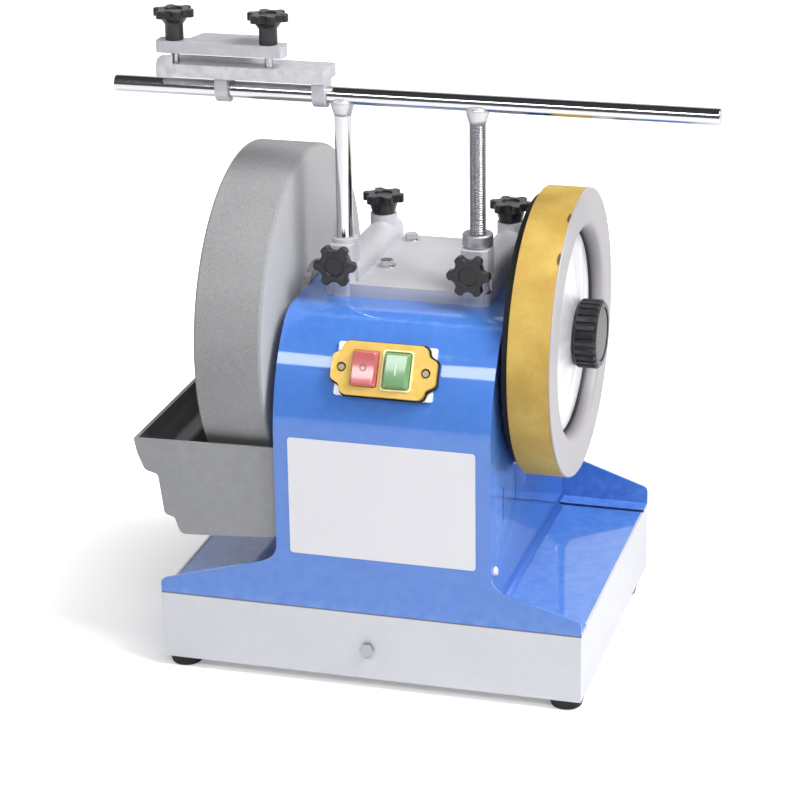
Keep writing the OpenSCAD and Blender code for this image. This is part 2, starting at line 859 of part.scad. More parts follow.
module shaft_bush() {
    on_spindle() difference() {
        union() {
            translate([0, 0, panel_face]) cylinder(d = bush_flange_d, h = bush_flange_t);
            translate([0, 0, panel_face - bush_length]) cylinder(d = bush_d, h = bush_length + cut);
        }
        cylinder(d = spindle_d + 2 * fit, h = neck_width);
    }
}

module shaft_bush_left() {
    color("peru") mirror([1, 0, 0]) shaft_bush();
}

module shaft_bush_right() {
    color("peru") shaft_bush();
}

module main_shaft() {
    color("silver") on_spindle() translate([0, 0, -shaft_left])
        cylinder(d = spindle_d, h = shaft_left + shaft_right);
}

module grinding_stone() {
    edge = 1.5;
    r = stone_d / 2;
    bore = shaft_r + fit;
    color("darkgray") on_spindle() rotate_extrude($fn = 128)
        polygon([[bore, -stone_outer], [r - edge, -stone_outer], [r, edge - stone_outer],
            [r, -stone_inner - edge], [r - edge, -stone_inner], [bore, -stone_inner]]);
}

module stone_flange_inner() {
    color("silver") on_spindle() translate([0, 0, -stone_inner])
        ring(stone_flange_d / 2, shaft_r + fit, flange_t);
}

module stone_flange_outer() {
    bore = shaft_r + fit;
    r = stone_flange_d / 2;
    color("silver") on_spindle() translate([0, 0, -stone_outer - outer_flange_t]) rotate_extrude()
        polygon([[bore, 0], [r / 2, 0], [r, outer_flange_t - flange_edge], [r, outer_flange_t],
            [bore, outer_flange_t]]);
}

module stone_nut() {
    end = stone_outer + outer_flange_t + stone_nut_t;
    color("silver") on_spindle() translate([0, 0, -end]) difference() {
        cylinder(d = stone_nut_d, h = stone_nut_t, $fn = 6);
        translate([0, 0, -cut]) cylinder(r = shaft_r + fit, h = stone_nut_t + 2 * cut);
    }
}

// The rim ends in a thin lip at the outer face, with the leather behind it
module honing_wheel() {
    bore = shaft_r + fit;
    recess_r = recess_d / 2;
    lip_r = honing_d / 2;
    lip_start = wheel_outer - rim_lip;
    edge = 1.5;
    color("gainsboro") on_spindle() rotate_extrude($fn = 128)
        polygon([[bore, wheel_inner + hub_inset], [hub_r, wheel_inner + hub_inset],
            [hub_r, web_outer - web_t], [wheel_r - rim_t, web_outer - web_t],
            [wheel_r - rim_t, wheel_inner], [wheel_r, wheel_inner], [wheel_r, lip_start],
            [lip_r, lip_start], [lip_r, wheel_outer - rim_lip / 2],
            [lip_r - rim_lip / 2, wheel_outer], [recess_r + edge, wheel_outer],
            [recess_r, wheel_outer - edge], [recess_r, web_outer], [hub_r, web_outer], [hub_r, hub_outer],
            [bore, hub_outer]]);
}

module leather_band() {
    color("goldenrod") on_spindle() translate([0, 0, wheel_inner])
        ring(wheel_r + leather_t, wheel_r + fit, honing_width - rim_lip, $fn = 128);
}

module drive_ring() {
    color("black") on_spindle() translate([0, 0, drive_ring_inner])
        ring(drive_ring_d / 2, drive_ring_r, wheel_inner - drive_ring_inner, $fn = 128);
}

// Dished cover on the floor of the wheel's recess
module wheel_disc() {
    rim_r = recess_d / 2 - disc_gap;
    flat_r = hub_r + 2;
    bore = shaft_r + fit;
    color("white") on_spindle() translate([0, 0, web_outer]) rotate_extrude($fn = 128)
        polygon([[bore, disc_rise], [flat_r, disc_rise], [rim_r - disc_rim, 0], [rim_r, 0], [rim_r, disc_t],
            [rim_r - disc_rim, disc_t], [flat_r, disc_rise + disc_t], [bore, disc_rise + disc_t]]);
}

module hand_knob() {
    r = hand_knob_d / 2;
    cap_r = r - 5.2;
    groove = 1.5;
    neck = 2.5;
    bore = shaft_r + fit;
    color("black") on_spindle() translate([0, 0, knob_inner]) difference() {
        rotate_extrude() polygon([[0, 0], [r - neck, 0], [r, neck], [r, hand_knob_length - 2],
            [r - 2, hand_knob_length], [cap_r, hand_knob_length], [cap_r, hand_knob_length - 1],
            [0, hand_knob_length - 1]]);
        translate([0, 0, -cut]) cylinder(r = bore, h = shaft_right - knob_inner + 1 + cut);
        for (i = [0:hand_knob_ribs - 1]) rotate(360 / hand_knob_ribs * i)
            translate([r, 0, neck]) cylinder(r = groove, h = hand_knob_length);
    }
}

module motor_shaft() {
    left = motor_length / 2 + end_cap_t + 2 * fan_t;
    color("silver") on_motor() translate([0, 0, -left])
        cylinder(d = motor_shaft_d, h = left + wheel_inner + hub_inset);
}

module rotor_core() {
    color("darkgray") on_motor() translate([0, 0, -core_length / 2])
        ring(rotor_d / 2, motor_shaft_d / 2 + fit, core_length);
}

module drive_roller() {
    length = 10;
    color("black") on_motor() translate([0, 0, drive_ring_inner - 1])
        ring(roller_d / 2, motor_shaft_d / 2 + fit, length);
}

module cooling_fan() {
    start = motor_length / 2 + end_cap_t + 3 + slip;
    color("dimgray") on_motor() translate([0, 0, -start - fan_t]) difference() {
        union() {
            cylinder(d = fan_hub_d, h = fan_t);
            cylinder(d = fan_d, h = fan_sheet);
            for (i = [0:fan_blades - 1]) rotate(360 / fan_blades * i)
                translate([fan_hub_d / 2 - 1, -fan_sheet / 2, fan_sheet / 2])
                    cube([fan_d / 2 - fan_hub_d / 2 - 1, fan_sheet, fan_t - fan_sheet]);
        }
        translate([0, 0, -cut]) cylinder(d = motor_shaft_d + 2 * fit, h = fan_t + 2 * cut);
    }
}

module bar_solid(r) {
    translate([-bar_length / 2, -leg_offset, bar_height]) along_x() cylinder(r = r, h = bar_length);
}

module support_bar() {
    color("silver") bar_solid(bar_r);
}

// A leg with its conical weld collar, cut to sit under the bar
module support_leg(x) {
    difference() {
        translate([x, -leg_offset, 0]) {
            translate([0, 0, leg_bottom]) cylinder(r = bar_r, h = bar_height - leg_bottom);
            translate([0, 0, bar_height - bar_r / 2 - collar_height])
                cylinder(r1 = bar_r, r2 = collar_r, h = collar_height);
        }
        bar_solid(bar_r + fit);
        translate([x, -leg_offset, bar_height]) cube([4 * bar_d, 4 * bar_d, bar_r], center = true);
    }
}

module support_leg_left() {
    color("silver") support_leg(-leg_x);
}

module support_leg_right() {
    color("silver") support_leg(leg_x);
}

module adjusting_nut() {
    r = nut_d / 2;
    bore = bar_r + fit;
    edge = 1;
    color("lightgray") translate([leg_x, -leg_offset, sleeve_top + hole_play]) rotate_extrude()
        polygon([[bore, 0], [r - edge, 0], [r, edge], [r, nut_height - edge], [r - edge, nut_height],
            [bore, nut_height]]);
}

// A lobed knob on its hub, which flares under the head, seated on Z = 0, with a blind bore for its stud
module lobed_knob(head_d, head_t, hub_d, hub_l, flare_l, bore_d, bore_l) {
    lobe_r = head_d * 0.13;
    lobe_place = head_d / 2 - lobe_r;
    lobe_step = 360 / knob_lobes;
    flare_start = hub_l - flare_l;
    difference() {
        union() {
            cylinder(d = hub_d, h = hub_l);
            translate([0, 0, flare_start]) cylinder(d1 = hub_d, d2 = head_d * 0.7, h = flare_l);
            translate([0, 0, hub_l]) linear_extrude(height = head_t) difference() {
                union() {
                    circle(r = lobe_place + 0.3 * lobe_r);
                    for (i = [0:knob_lobes - 1]) rotate(lobe_step * i)
                        translate([lobe_place, 0]) circle(r = lobe_r);
                }
                for (i = [0:knob_lobes - 1]) rotate(lobe_step * (i + 0.5))
                    translate([lobe_place + lobe_r * 1.05, 0]) circle(r = lobe_r * 1.15);
            }
        }
        translate([0, 0, -cut]) cylinder(d = bore_d, h = bore_l + cut);
        translate([0, 0, hub_l + head_t - knob_dish]) cylinder(d = head_d * 0.42, h = knob_dish + cut);
    }
}

module star_knob() {
    lobed_knob(star_knob_d, star_knob_t, knob_hub_d, knob_hub_l, knob_hub_l, stud_d + 2 * fit, stud_depth);
}

module at_front_knob(x) {
    translate([x, -sleeve_front - slip, front_knob_z]) rotate([90, 0, 0]) children();
}

module at_rear_knob(x) {
    translate([x, rear_knob_y, boss_top + slip]) children();
}

// Clamping studs end just short of the leg or the lying bore
module front_stud() {
    reach = sleeve_front - leg_offset - bar_r;
    translate([0, 0, -reach]) cylinder(d = stud_d, h = reach + stud_depth - stud_play);
}

module rear_stud() {
    reach = boss_top - lying_height - bar_r - fit;
    translate([0, 0, -reach]) cylinder(d = stud_d, h = reach + stud_depth - stud_play);
}

module front_knob_left() {
    color("black") at_front_knob(-leg_x) star_knob();
}

module front_knob_right() {
    color("black") at_front_knob(leg_x) star_knob();
}

module rear_knob_left() {
    color("black") at_rear_knob(-leg_x) star_knob();
}

module rear_knob_right() {
    color("black") at_rear_knob(leg_x) star_knob();
}

module front_stud_left() {
    color("silver") at_front_knob(-leg_x) front_stud();
}

module front_stud_right() {
    color("silver") at_front_knob(leg_x) front_stud();
}

module rear_stud_left() {
    color("silver") at_rear_knob(-leg_x) rear_stud();
}

module rear_stud_right() {
    color("silver") at_rear_knob(leg_x) rear_stud();
}

// Hook outline in Y and Z: over the bar, down its front and under it
module hook_outline() {
    difference() {
        union() {
            translate([-leg_offset, bar_height]) circle(r = hook_r);
            translate([-leg_offset - hook_r, bar_height])
                square([2 * hook_r, jig_bottom - bar_height + cut]);
        }
        translate([-leg_offset, bar_height]) circle(r = bar_r + fit);
        translate([-leg_offset + bar_r * 0.6, bar_height - 2 * hook_r]) square([2 * hook_r, 2 * hook_r]);
        translate([-leg_offset, bar_height - bar_r]) square([2 * hook_r, bar_r]);
    }
}

module clamp_places() {
    for (side = [-1, 1])
        translate([clamp_middle + side * clamp_knob_spacing / 2, clamp_stud_y, 0]) children();
}

module jig_body() {
    color("silver") difference() {
        union() {
            translate([jig_left, jig_front, jig_bottom]) cube([jig_length, jig_depth, jig_body_t]);
            translate([jig_left + stop_inset, jig_front - stop_depth, jig_bottom])
                cube([stop_width, stop_depth + cut, jig_body_t]);
            translate([jig_left + stop_inset, jig_front - stop_depth, jig_bottom])
                cube([stop_width, stop_depth - slip, jig_body_t + clamp_gap - 1]);
            for (x = hook_places) side_extrude(x, hook_width) hook_outline();
        }
        clamp_places() translate([0, 0, jig_bottom + clamp_stud_floor])
            cylinder(d = clamp_stud_d + 2 * fit, h = jig_body_t);
    }
}

module jig_studs() {
    start = jig_bottom + clamp_stud_floor;
    color("silver") clamp_places() translate([0, 0, start])
        cylinder(d = clamp_stud_d, h = clamp_stud_top - start);
}

module jig_clamp_plate() {
    half = clamp_plate_width / 2;
    ear_depth = 14;
    color("silver") difference() {
        translate([clamp_middle, jig_front, clamp_bottom]) linear_extrude(height = clamp_plate_t)
            polygon(rounded([[-half, 0], [half, 0], [half, ear_depth], [half * 0.55, ear_depth],
                [half * 0.46, jig_depth + 1], [-half * 0.46, jig_depth + 1], [-half * 0.55, ear_depth],
                [-half, ear_depth]], [3, 3, 3, 2, 3, 3, 2, 3]));
        clamp_places() translate([0, 0, clamp_bottom - cut])
            cylinder(d = clamp_stud_d + 2 * hole_play, h = clamp_plate_t + 2 * cut);
    }
}

module jig_knob(side) {
    translate([clamp_middle + side * clamp_knob_spacing / 2, clamp_stud_y, clamp_top + slip])
        lobed_knob(clamp_knob_d, clamp_knob_t, clamp_knob_hub_d, clamp_knob_hub_l, clamp_knob_flare,
            clamp_stud_d + 2 * fit, clamp_bore_l);
}

module jig_knob_left() {
    color("black") jig_knob(-1);
}

module jig_knob_right() {
    color("black") jig_knob(1);
}

// Lets the tray's section fall towards its outer wall
function tilted(points) = [for (p = points) [p[0], p[1] + (p[0] - tray_inner) * tan(tray_tilt)]];

// Stepped section of the tray in X and Z, moved in by wall on the outer side and the floor
module tray_section(wall) {
    drop = tray_rim - tray_floor;
    x = tray_outer + wall;
    z = tray_floor + wall;
    inner = tray_inner - wall;
    polygon(tilted(rounded([[x, tray_rim + wall], [x + 0.02 * tray_width, z + 0.85 * drop],
        [x + 0.07 * tray_width, z + 0.67 * drop], [x + 0.07 * tray_width + tray_step, z + 0.63 * drop],
        [x + 0.2 * tray_width, z + 0.21 * drop], [x + 0.27 * tray_width, z + 0.18 * drop],
        [x + 0.31 * tray_width, z], [inner, z + floor_rise], [inner, tray_rim + wall]],
        [0, 20, 5, 4, 4, 3, 6, 4, 0])));
}

module water_tray() {
    color("darkgray") {
        rotate([90, 0, 0]) translate([0, 0, -tray_length / 2]) difference() {
            linear_extrude(height = tray_length) tray_section(0);
            translate([0, 0, tray_wall]) linear_extrude(height = tray_length - 2 * tray_wall)
                tray_section(tray_wall);
        }
        translate([tray_inner - tray_wall, -hanger_length / 2, tray_rim - hanger_lip_t])
            cube([hanger_depth() + tray_wall, hanger_length, hanger_lip_t]);
    }
}

base_pan();
rubber_feet();
base_bolt();
deck_plate();
housing_shell();
side_panel_left();
side_panel_right();
panel_screws();
tray_hanger();
cable_gland();
casting_plate();
casting_sleeves_left();
casting_sleeves_right();
casting_screws();
switch_back_plate();
switch_gasket();
switch_cover();
switch_box();
switch_screws();
start_button();
stop_button();
motor_casing();
motor_end_cap_left();
motor_end_cap_right();
motor_cradle();
stator_core();
shaft_bush_left();
shaft_bush_right();
main_shaft();
grinding_stone();
stone_flange_inner();
stone_flange_outer();
stone_nut();
honing_wheel();
leather_band();
drive_ring();
wheel_disc();
hand_knob();
motor_shaft();
rotor_core();
drive_roller();
cooling_fan();
support_bar();
support_leg_left();
support_leg_right();
adjusting_nut();
front_knob_left();
front_knob_right();
rear_knob_left();
rear_knob_right();
front_stud_left();
front_stud_right();
rear_stud_left();
rear_stud_right();
jig_body();
jig_studs();
jig_clamp_plate();
jig_knob_left();
jig_knob_right();
water_tray();
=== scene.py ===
# %% [markdown]
# # Dressing a water-cooled knife grinder
# The machine has a slow grinding stone that dips into a water tray, a leather honing wheel on the
# other end of the same spindle, and a chromed bar above both that carries a blade jig.
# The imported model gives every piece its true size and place. Each cell below takes one piece or
# one finish and gives it the look it has on the real machine.

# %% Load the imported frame
import json
import math

import bmesh
import bpy
from mathutils import Matrix, Vector, noise


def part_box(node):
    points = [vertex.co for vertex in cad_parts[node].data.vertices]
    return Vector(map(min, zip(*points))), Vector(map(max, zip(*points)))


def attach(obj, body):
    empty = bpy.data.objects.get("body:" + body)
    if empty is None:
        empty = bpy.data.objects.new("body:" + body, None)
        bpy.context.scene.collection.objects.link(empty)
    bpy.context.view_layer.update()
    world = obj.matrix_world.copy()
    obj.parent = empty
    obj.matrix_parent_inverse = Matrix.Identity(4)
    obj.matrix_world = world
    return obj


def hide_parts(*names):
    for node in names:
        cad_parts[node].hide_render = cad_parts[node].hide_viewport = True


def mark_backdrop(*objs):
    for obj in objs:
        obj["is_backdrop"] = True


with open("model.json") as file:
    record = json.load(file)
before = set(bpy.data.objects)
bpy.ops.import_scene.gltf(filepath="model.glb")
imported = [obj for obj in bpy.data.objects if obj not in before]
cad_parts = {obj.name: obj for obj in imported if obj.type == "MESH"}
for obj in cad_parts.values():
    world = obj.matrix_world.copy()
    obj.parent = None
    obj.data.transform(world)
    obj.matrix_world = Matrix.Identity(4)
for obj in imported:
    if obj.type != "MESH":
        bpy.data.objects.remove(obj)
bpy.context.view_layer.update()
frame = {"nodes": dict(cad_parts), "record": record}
MM = 0.001

# %% [markdown]
# ## The camera
# A product photographer stood to the right of the machine and a little above it. The place could be
# found by eye, but a long lens changes the outline only slightly, so the numbers below come from
# lining up known edges. The camera is aimed at a point on the housing and tipped by under a degree.

# %% Place the camera
IMAGE_PIXELS = 800
FOCAL_PIXELS = 2661.9
CAMERA_TURN = math.radians(16.115)
CAMERA_RISE = math.radians(20.631)
CAMERA_ROLL = math.radians(-0.794)
CAMERA_REACH = 1.98075
AIM_POINT = Vector((-0.0207, 0.0, 0.1777))

forward = Vector((-math.sin(CAMERA_TURN) * math.cos(CAMERA_RISE),
                  math.cos(CAMERA_TURN) * math.cos(CAMERA_RISE),
                  -math.sin(CAMERA_RISE)))
level_right = Vector((math.cos(CAMERA_TURN), math.sin(CAMERA_TURN), 0.0))
level_up = level_right.cross(forward)
right = math.cos(CAMERA_ROLL) * level_right + math.sin(CAMERA_ROLL) * level_up
up = -math.sin(CAMERA_ROLL) * level_right + math.cos(CAMERA_ROLL) * level_up


def new_object(name, data):
    thing = bpy.data.objects.new(name, data)
    bpy.context.scene.collection.objects.link(thing)
    return thing


lens = bpy.data.cameras.new("studio_camera")
lens.sensor_width = 36.0
lens.lens = FOCAL_PIXELS * lens.sensor_width / IMAGE_PIXELS
lens.clip_end = 50.0
camera = new_object("studio_camera", lens)
camera.matrix_world = (Matrix.Translation(AIM_POINT - CAMERA_REACH * forward)
                       @ Matrix((right, up, -forward)).transposed().to_4x4())
bpy.context.scene.camera = camera
bpy.context.scene.view_settings.view_transform = "Standard"
print("lens:", round(lens.lens, 1), "mm")

# %% [markdown]
# ## Node helpers
# Every finish is a small graph of nodes. A few helpers keep the cells short: one adds a node and fills
# or links its sockets, and the others wrap the nodes that come back in nearly every finish.

# %% Helpers for node graphs
def add_node(tree, kind, sockets=None, **settings):
    node = tree.nodes.new(kind)
    for key, value in settings.items():
        setattr(node, key, value)
    for key, value in (sockets or {}).items():
        if isinstance(value, bpy.types.NodeSocket):
            tree.links.new(value, node.inputs[key])
        else:
            node.inputs[key].default_value = value
    return node


def mix_colours(tree, factor, first, second, blend="MIX"):
    node = add_node(tree, "ShaderNodeMix", {0: factor, 6: first, 7: second},
                    data_type="RGBA", blend_type=blend)
    return node.outputs[2]


def math_node(tree, operation, first, second=0.0):
    return add_node(tree, "ShaderNodeMath", {0: first, 1: second}, operation=operation).outputs[0]


def spread(tree, value, low, high, out_low, out_high):
    sockets = {0: value, 1: low, 2: high, 3: out_low, 4: out_high}
    return add_node(tree, "ShaderNodeMapRange", sockets).outputs[0]


def noise_value(tree, place, scale, detail, roughness=0.5):
    sockets = {"Vector": place, "Scale": scale, "Detail": detail, "Roughness": roughness}
    return add_node(tree, "ShaderNodeTexNoise", sockets).outputs[0]


def line_noise(tree, value, scale, detail):
    """Noise along a single value, such as a radius or an angle."""
    sockets = {"W": value, "Scale": scale, "Detail": detail}
    return add_node(tree, "ShaderNodeTexNoise", sockets, noise_dimensions="1D").outputs[0]


def swing(tree, value, amount):
    """A noise of 0 to 1 as a swing to both sides of nothing."""
    return math_node(tree, "MULTIPLY", math_node(tree, "SUBTRACT", value, 0.5), amount)


def object_place(tree):
    return add_node(tree, "ShaderNodeTexCoord").outputs["Object"]


def object_axes(tree):
    return add_node(tree, "ShaderNodeSeparateXYZ", {0: object_place(tree)}).outputs


def shade(red, green, blue):
    """A screen colour of 0 to 255 as the linear colour that a shader takes."""
    linear = [(c / 255 / 12.92) if c < 10.3 else ((c / 255 + 0.055) / 1.055) ** 2.4
              for c in (red, green, blue)]
    return (*linear, 1.0)


print("steel grey of 160 is", round(shade(160, 160, 160)[0], 3), "in linear light")

# %% [markdown]
# ## The studio
# The machine stands in front of a seamless white sweep. A plain white plane would show grey, because
# no diffuse surface sends back all its light, so the camera sees the sweep a little brighter than it
# lights the object, and polished metal sees half of that. The lift is small near the machine, where the
# shadow has to stay, and grows with the distance until the sweep is plain white.

# %% Floor and sweep
FLOOR_SIZE = 6.0
SWEEP_DEPTH = 2.2
SWEEP_HEIGHT = 3.0
SWEEP_BEND = 0.8
SHADOW_REACH = 0.2
WHITE_REACH = 0.42
LIFT_NEAR = 0.25
LIFT_FAR = 0.9
MIRROR_SHARE = 0.5


def make_sweep():
    rows = [(-FLOOR_SIZE / 2, 0.0), (SWEEP_DEPTH, 0.0)]
    for angle in range(10, 91, 10):
        turn = math.radians(angle)
        rows.append((SWEEP_DEPTH + SWEEP_BEND * math.sin(turn), SWEEP_BEND - SWEEP_BEND * math.cos(turn)))
    rows.append((SWEEP_DEPTH + SWEEP_BEND, SWEEP_HEIGHT))
    points = [(x, y, z) for y, z in rows for x in (-FLOOR_SIZE, FLOOR_SIZE)]
    faces = [(2 * i, 2 * i + 1, 2 * i + 3, 2 * i + 2) for i in range(len(rows) - 1)]
    mesh = bpy.data.meshes.new("studio_sweep")
    mesh.from_pydata(points, [], faces)
    for polygon in mesh.polygons:
        polygon.use_smooth = True
    sweep = new_object("studio_sweep", mesh)
    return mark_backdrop(sweep) or sweep


def sweep_paint():
    paint = bpy.data.materials.new("sweep_paint")
    paint.use_nodes = True
    tree = paint.node_tree
    base = tree.nodes["Principled BSDF"]
    base.inputs["Base Color"].default_value = (0.86, 0.86, 0.87, 1.0)
    base.inputs["Roughness"].default_value = 0.9
    base.inputs["Specular IOR Level"].default_value = 0.1
    path = add_node(tree, "ShaderNodeLightPath")
    seen = math_node(tree, "MAXIMUM", path.outputs["Is Camera Ray"], path.outputs["Is Transmission Ray"])
    mirrored = math_node(tree, "MULTIPLY", path.outputs["Is Glossy Ray"], MIRROR_SHARE)
    seen = math_node(tree, "MAXIMUM", seen, mirrored)
    place = add_node(tree, "ShaderNodeNewGeometry").outputs["Position"]
    distance = add_node(tree, "ShaderNodeVectorMath", {0: place}, operation="LENGTH").outputs["Value"]
    lift = spread(tree, distance, SHADOW_REACH, WHITE_REACH, LIFT_NEAR, LIFT_FAR)
    glow = add_node(tree, "ShaderNodeEmission", {"Color": (1.0, 1.0, 1.0, 1.0),
                                                 "Strength": math_node(tree, "MULTIPLY", seen, lift)})
    both = add_node(tree, "ShaderNodeAddShader", {0: base.outputs[0], 1: glow.outputs[0]})
    tree.links.new(both.outputs[0], tree.nodes["Material Output"].inputs["Surface"])
    return paint


sweep = make_sweep()
sweep.data.materials.append(sweep_paint())
print("sweep points:", len(sweep.data.vertices))

# %% [markdown]
# ## Light
# The chromed bar tells how the room was lit: its upper edge is dark, so nothing bright hung straight
# above, and its middle is white, so a light stood high behind the camera. The streak beside the switch
# shows that this light was wide and low, like a row of windows, so the window box here is a strip. A
# second box fills from the left, and a strong one on the right makes the right side of the base nearly
# white. The world is white low down behind the machine and dark overhead.

# %% Lamps and world
def soft_box(name, place, aim, size, power):
    lamp = bpy.data.lights.new(name, "AREA")
    lamp.shape = "RECTANGLE"
    lamp.size, lamp.size_y = size
    lamp.energy = power
    box = new_object(name, lamp)
    direction = Vector(aim) - Vector(place)
    turn = direction.to_track_quat("-Z", "Y").to_matrix().to_4x4()
    box.matrix_world = Matrix.Translation(place) @ turn
    return box


OBJECT_MIDDLE = (0.0, 0.0, 0.2)
soft_box("window_box", (0.2, -1.74, 1.71), OBJECT_MIDDLE, (2.2, 0.36), 24.0)
soft_box("left_box", (-1.8, -0.8, 1.7), OBJECT_MIDDLE, (1.2, 1.4), 10.0)
soft_box("right_box", (1.3, -0.35, 1.9), OBJECT_MIDDLE, (1.0, 1.2), 62.0)


def studio_world():
    world = bpy.data.worlds.new("studio_world")
    bpy.context.scene.world = world
    world.use_nodes = True
    tree = world.node_tree
    backdrop = tree.nodes["Background"]
    where = add_node(tree, "ShaderNodeTexCoord")
    split = add_node(tree, "ShaderNodeSeparateXYZ", {0: where.outputs["Generated"]})
    toward_back = spread(tree, split.outputs["Y"], -0.3, 0.6, 0.0, 1.0)
    overhead = spread(tree, split.outputs["Z"], 0.35, 0.7, 0.0, 1.0)
    tone = mix_colours(tree, toward_back, (0.2, 0.2, 0.21, 1.0), (1.0, 1.0, 1.0, 1.0))
    tone = mix_colours(tree, overhead, tone, (0.1, 0.1, 0.11, 1.0))
    tree.links.new(tone, backdrop.inputs["Color"])
    backdrop.inputs["Strength"].default_value = 0.6
    path = add_node(tree, "ShaderNodeLightPath")
    white = add_node(tree, "ShaderNodeBackground", {"Color": (1.0, 1.0, 1.0, 1.0), "Strength": 1.0})
    choice = add_node(tree, "ShaderNodeMixShader", {0: path.outputs["Is Camera Ray"],
                                                    1: backdrop.outputs[0], 2: white.outputs[0]})
    tree.links.new(choice.outputs[0], tree.nodes["World Output"].inputs["Surface"])


studio_world()

# %% [markdown]
# ## Shared effects
# Several finishes need the same effects: a slight unevenness of tone, a fine relief, and edges that
# have been rubbed. Each is a node group that is built once and placed in every material with its own
# values. A group hands out colours, values and heights only, and the shader stays in the material.

# %% Build an empty node group
def new_group(name, takes, gives):
    group = bpy.data.node_groups.new(name, "ShaderNodeTree")
    for label, kind, value in takes:
        socket = group.interface.new_socket(label, in_out="INPUT", socket_type="NodeSocket" + kind)
        socket.default_value = value
    for label, kind in gives:
        group.interface.new_socket(label, in_out="OUTPUT", socket_type="NodeSocket" + kind)
    start = group.nodes.new("NodeGroupInput")
    end = group.nodes.new("NodeGroupOutput")
    place = group.nodes.new("ShaderNodeTexCoord").outputs["Object"]
    return group, start.outputs, end.inputs, place


print("groups so far:", len(bpy.data.node_groups))

# %% [markdown]
# ### Uneven tone and fine relief
# Enamel, moulded plastic and cast metal all have a fine relief, and a tone that drifts a little from
# place to place. Two noises do it: a slow one for the tone and a quick one for the relief.

# %% Group: film
def film_group():
    group, given, out, place = new_group(
        "film",
        [("Color", "Color", (0.5, 0.5, 0.5, 1.0)), ("Relief Scale", "Float", 900.0),
         ("Drift", "Float", 0.06), ("Roughness", "Float", 0.4), ("Roughness Drift", "Float", 0.1)],
        [("Color", "Color"), ("Roughness", "Float"), ("Height", "Float")])
    slow = noise_value(group, place, 22.0, 3.0)
    quick = noise_value(group, place, given["Relief Scale"], 2.0)
    drift = math_node(group, "MULTIPLY", swing(group, slow, given["Drift"]), 2.0)
    brightness = math_node(group, "ADD", drift, 1.0)
    sockets = {0: given["Color"], "Scale": brightness}
    toned = add_node(group, "ShaderNodeVectorMath", sockets, operation="SCALE")
    group.links.new(toned.outputs[0], out["Color"])
    rough = math_node(group, "ADD", given["Roughness"], swing(group, slow, given["Roughness Drift"]))
    group.links.new(rough, out["Roughness"])
    group.links.new(quick, out["Height"])
    return group


film = film_group()
print("group:", film.name)

# %% [markdown]
# ### Lighter edges
# Paint and plastic get lighter along edges that are touched. On the yellow, red and green plastics of the
# switch the pale edge colour is also a painted highlight. The Geometry node's pointiness is high on convex
# edges, so a narrow window of it makes the mask.

# %% Group: rubbed edges
def edge_lightening_group():
    group, given, out, place = new_group(
        "lightened_edges",
        [("Color", "Color", (0.5, 0.5, 0.5, 1.0)), ("Edge Color", "Color", (0.7, 0.7, 0.7, 1.0)),
         ("Amount", "Float", 0.4)],
        [("Color", "Color"), ("Mask", "Float")])
    shape = add_node(group, "ShaderNodeNewGeometry")
    edge = spread(group, shape.outputs["Pointiness"], 0.52, 0.60, 0.0, 1.0)
    chance = spread(group, noise_value(group, place, 140.0, 4.0), 0.35, 0.65, 0.2, 1.0)
    mask = math_node(group, "MULTIPLY", math_node(group, "MULTIPLY", edge, chance), given["Amount"])
    group.links.new(mix_colours(group, mask, given["Color"], given["Edge Color"]), out["Color"])
    group.links.new(mask, out["Mask"])
    return group


edge_lightening = edge_lightening_group()
print("group:", edge_lightening.name)

# %% [markdown]
# ### Tool marks
# Turned and drawn metal keeps fine marks that run one way. Noise that is squeezed in two directions
# and stretched in the third gives them. On turned faces the marks run round the spindle, so the
# distance from the spindle takes the place of a straight direction.

# %% Groups: drawn marks and turned marks
SPINDLE_HEIGHT = 0.242


def drawn_group():
    group, given, out, place = new_group(
        "drawn_marks",
        [("Stretch", "Vector", (20.0, 900.0, 900.0)), ("Roughness", "Float", 0.25),
         ("Swing", "Float", 0.12)],
        [("Roughness", "Float"), ("Height", "Float")])
    sockets = {0: place, 1: given["Stretch"]}
    squeezed = add_node(group, "ShaderNodeVectorMath", sockets, operation="MULTIPLY")
    marks = noise_value(group, squeezed.outputs[0], 1.0, 3.0)
    rough = math_node(group, "ADD", given["Roughness"], swing(group, marks, given["Swing"]))
    group.links.new(rough, out["Roughness"])
    group.links.new(marks, out["Height"])
    return group


def turned_group():
    group, given, out, place = new_group(
        "turned_marks",
        [("Rings", "Float", 2500.0), ("Roughness", "Float", 0.3), ("Swing", "Float", 0.15)],
        [("Roughness", "Float"), ("Height", "Float"), ("Radius", "Float")])
    axes = add_node(group, "ShaderNodeSeparateXYZ", {0: place}).outputs
    across = math_node(group, "POWER", axes["Y"], 2.0)
    rise = math_node(group, "POWER", math_node(group, "SUBTRACT", axes["Z"], SPINDLE_HEIGHT), 2.0)
    radius = math_node(group, "SQRT", math_node(group, "ADD", across, rise))
    rings = line_noise(group, math_node(group, "MULTIPLY", radius, given["Rings"]), 1.0, 3.0)
    rough = math_node(group, "ADD", given["Roughness"], swing(group, rings, given["Swing"]))
    group.links.new(rough, out["Roughness"])
    group.links.new(rings, out["Height"])
    group.links.new(radius, out["Radius"])
    return group


drawn = drawn_group()
turned = turned_group()
print("groups:", drawn.name, turned.name)

# %% [markdown]
# ## Finishes
# A finish starts as a Principled shader with its plain numbers set on its own sockets. The groups then
# feed its colour, its roughness and, through a Bump node, its normal.

# %% Helpers for finishes
finishes = {}


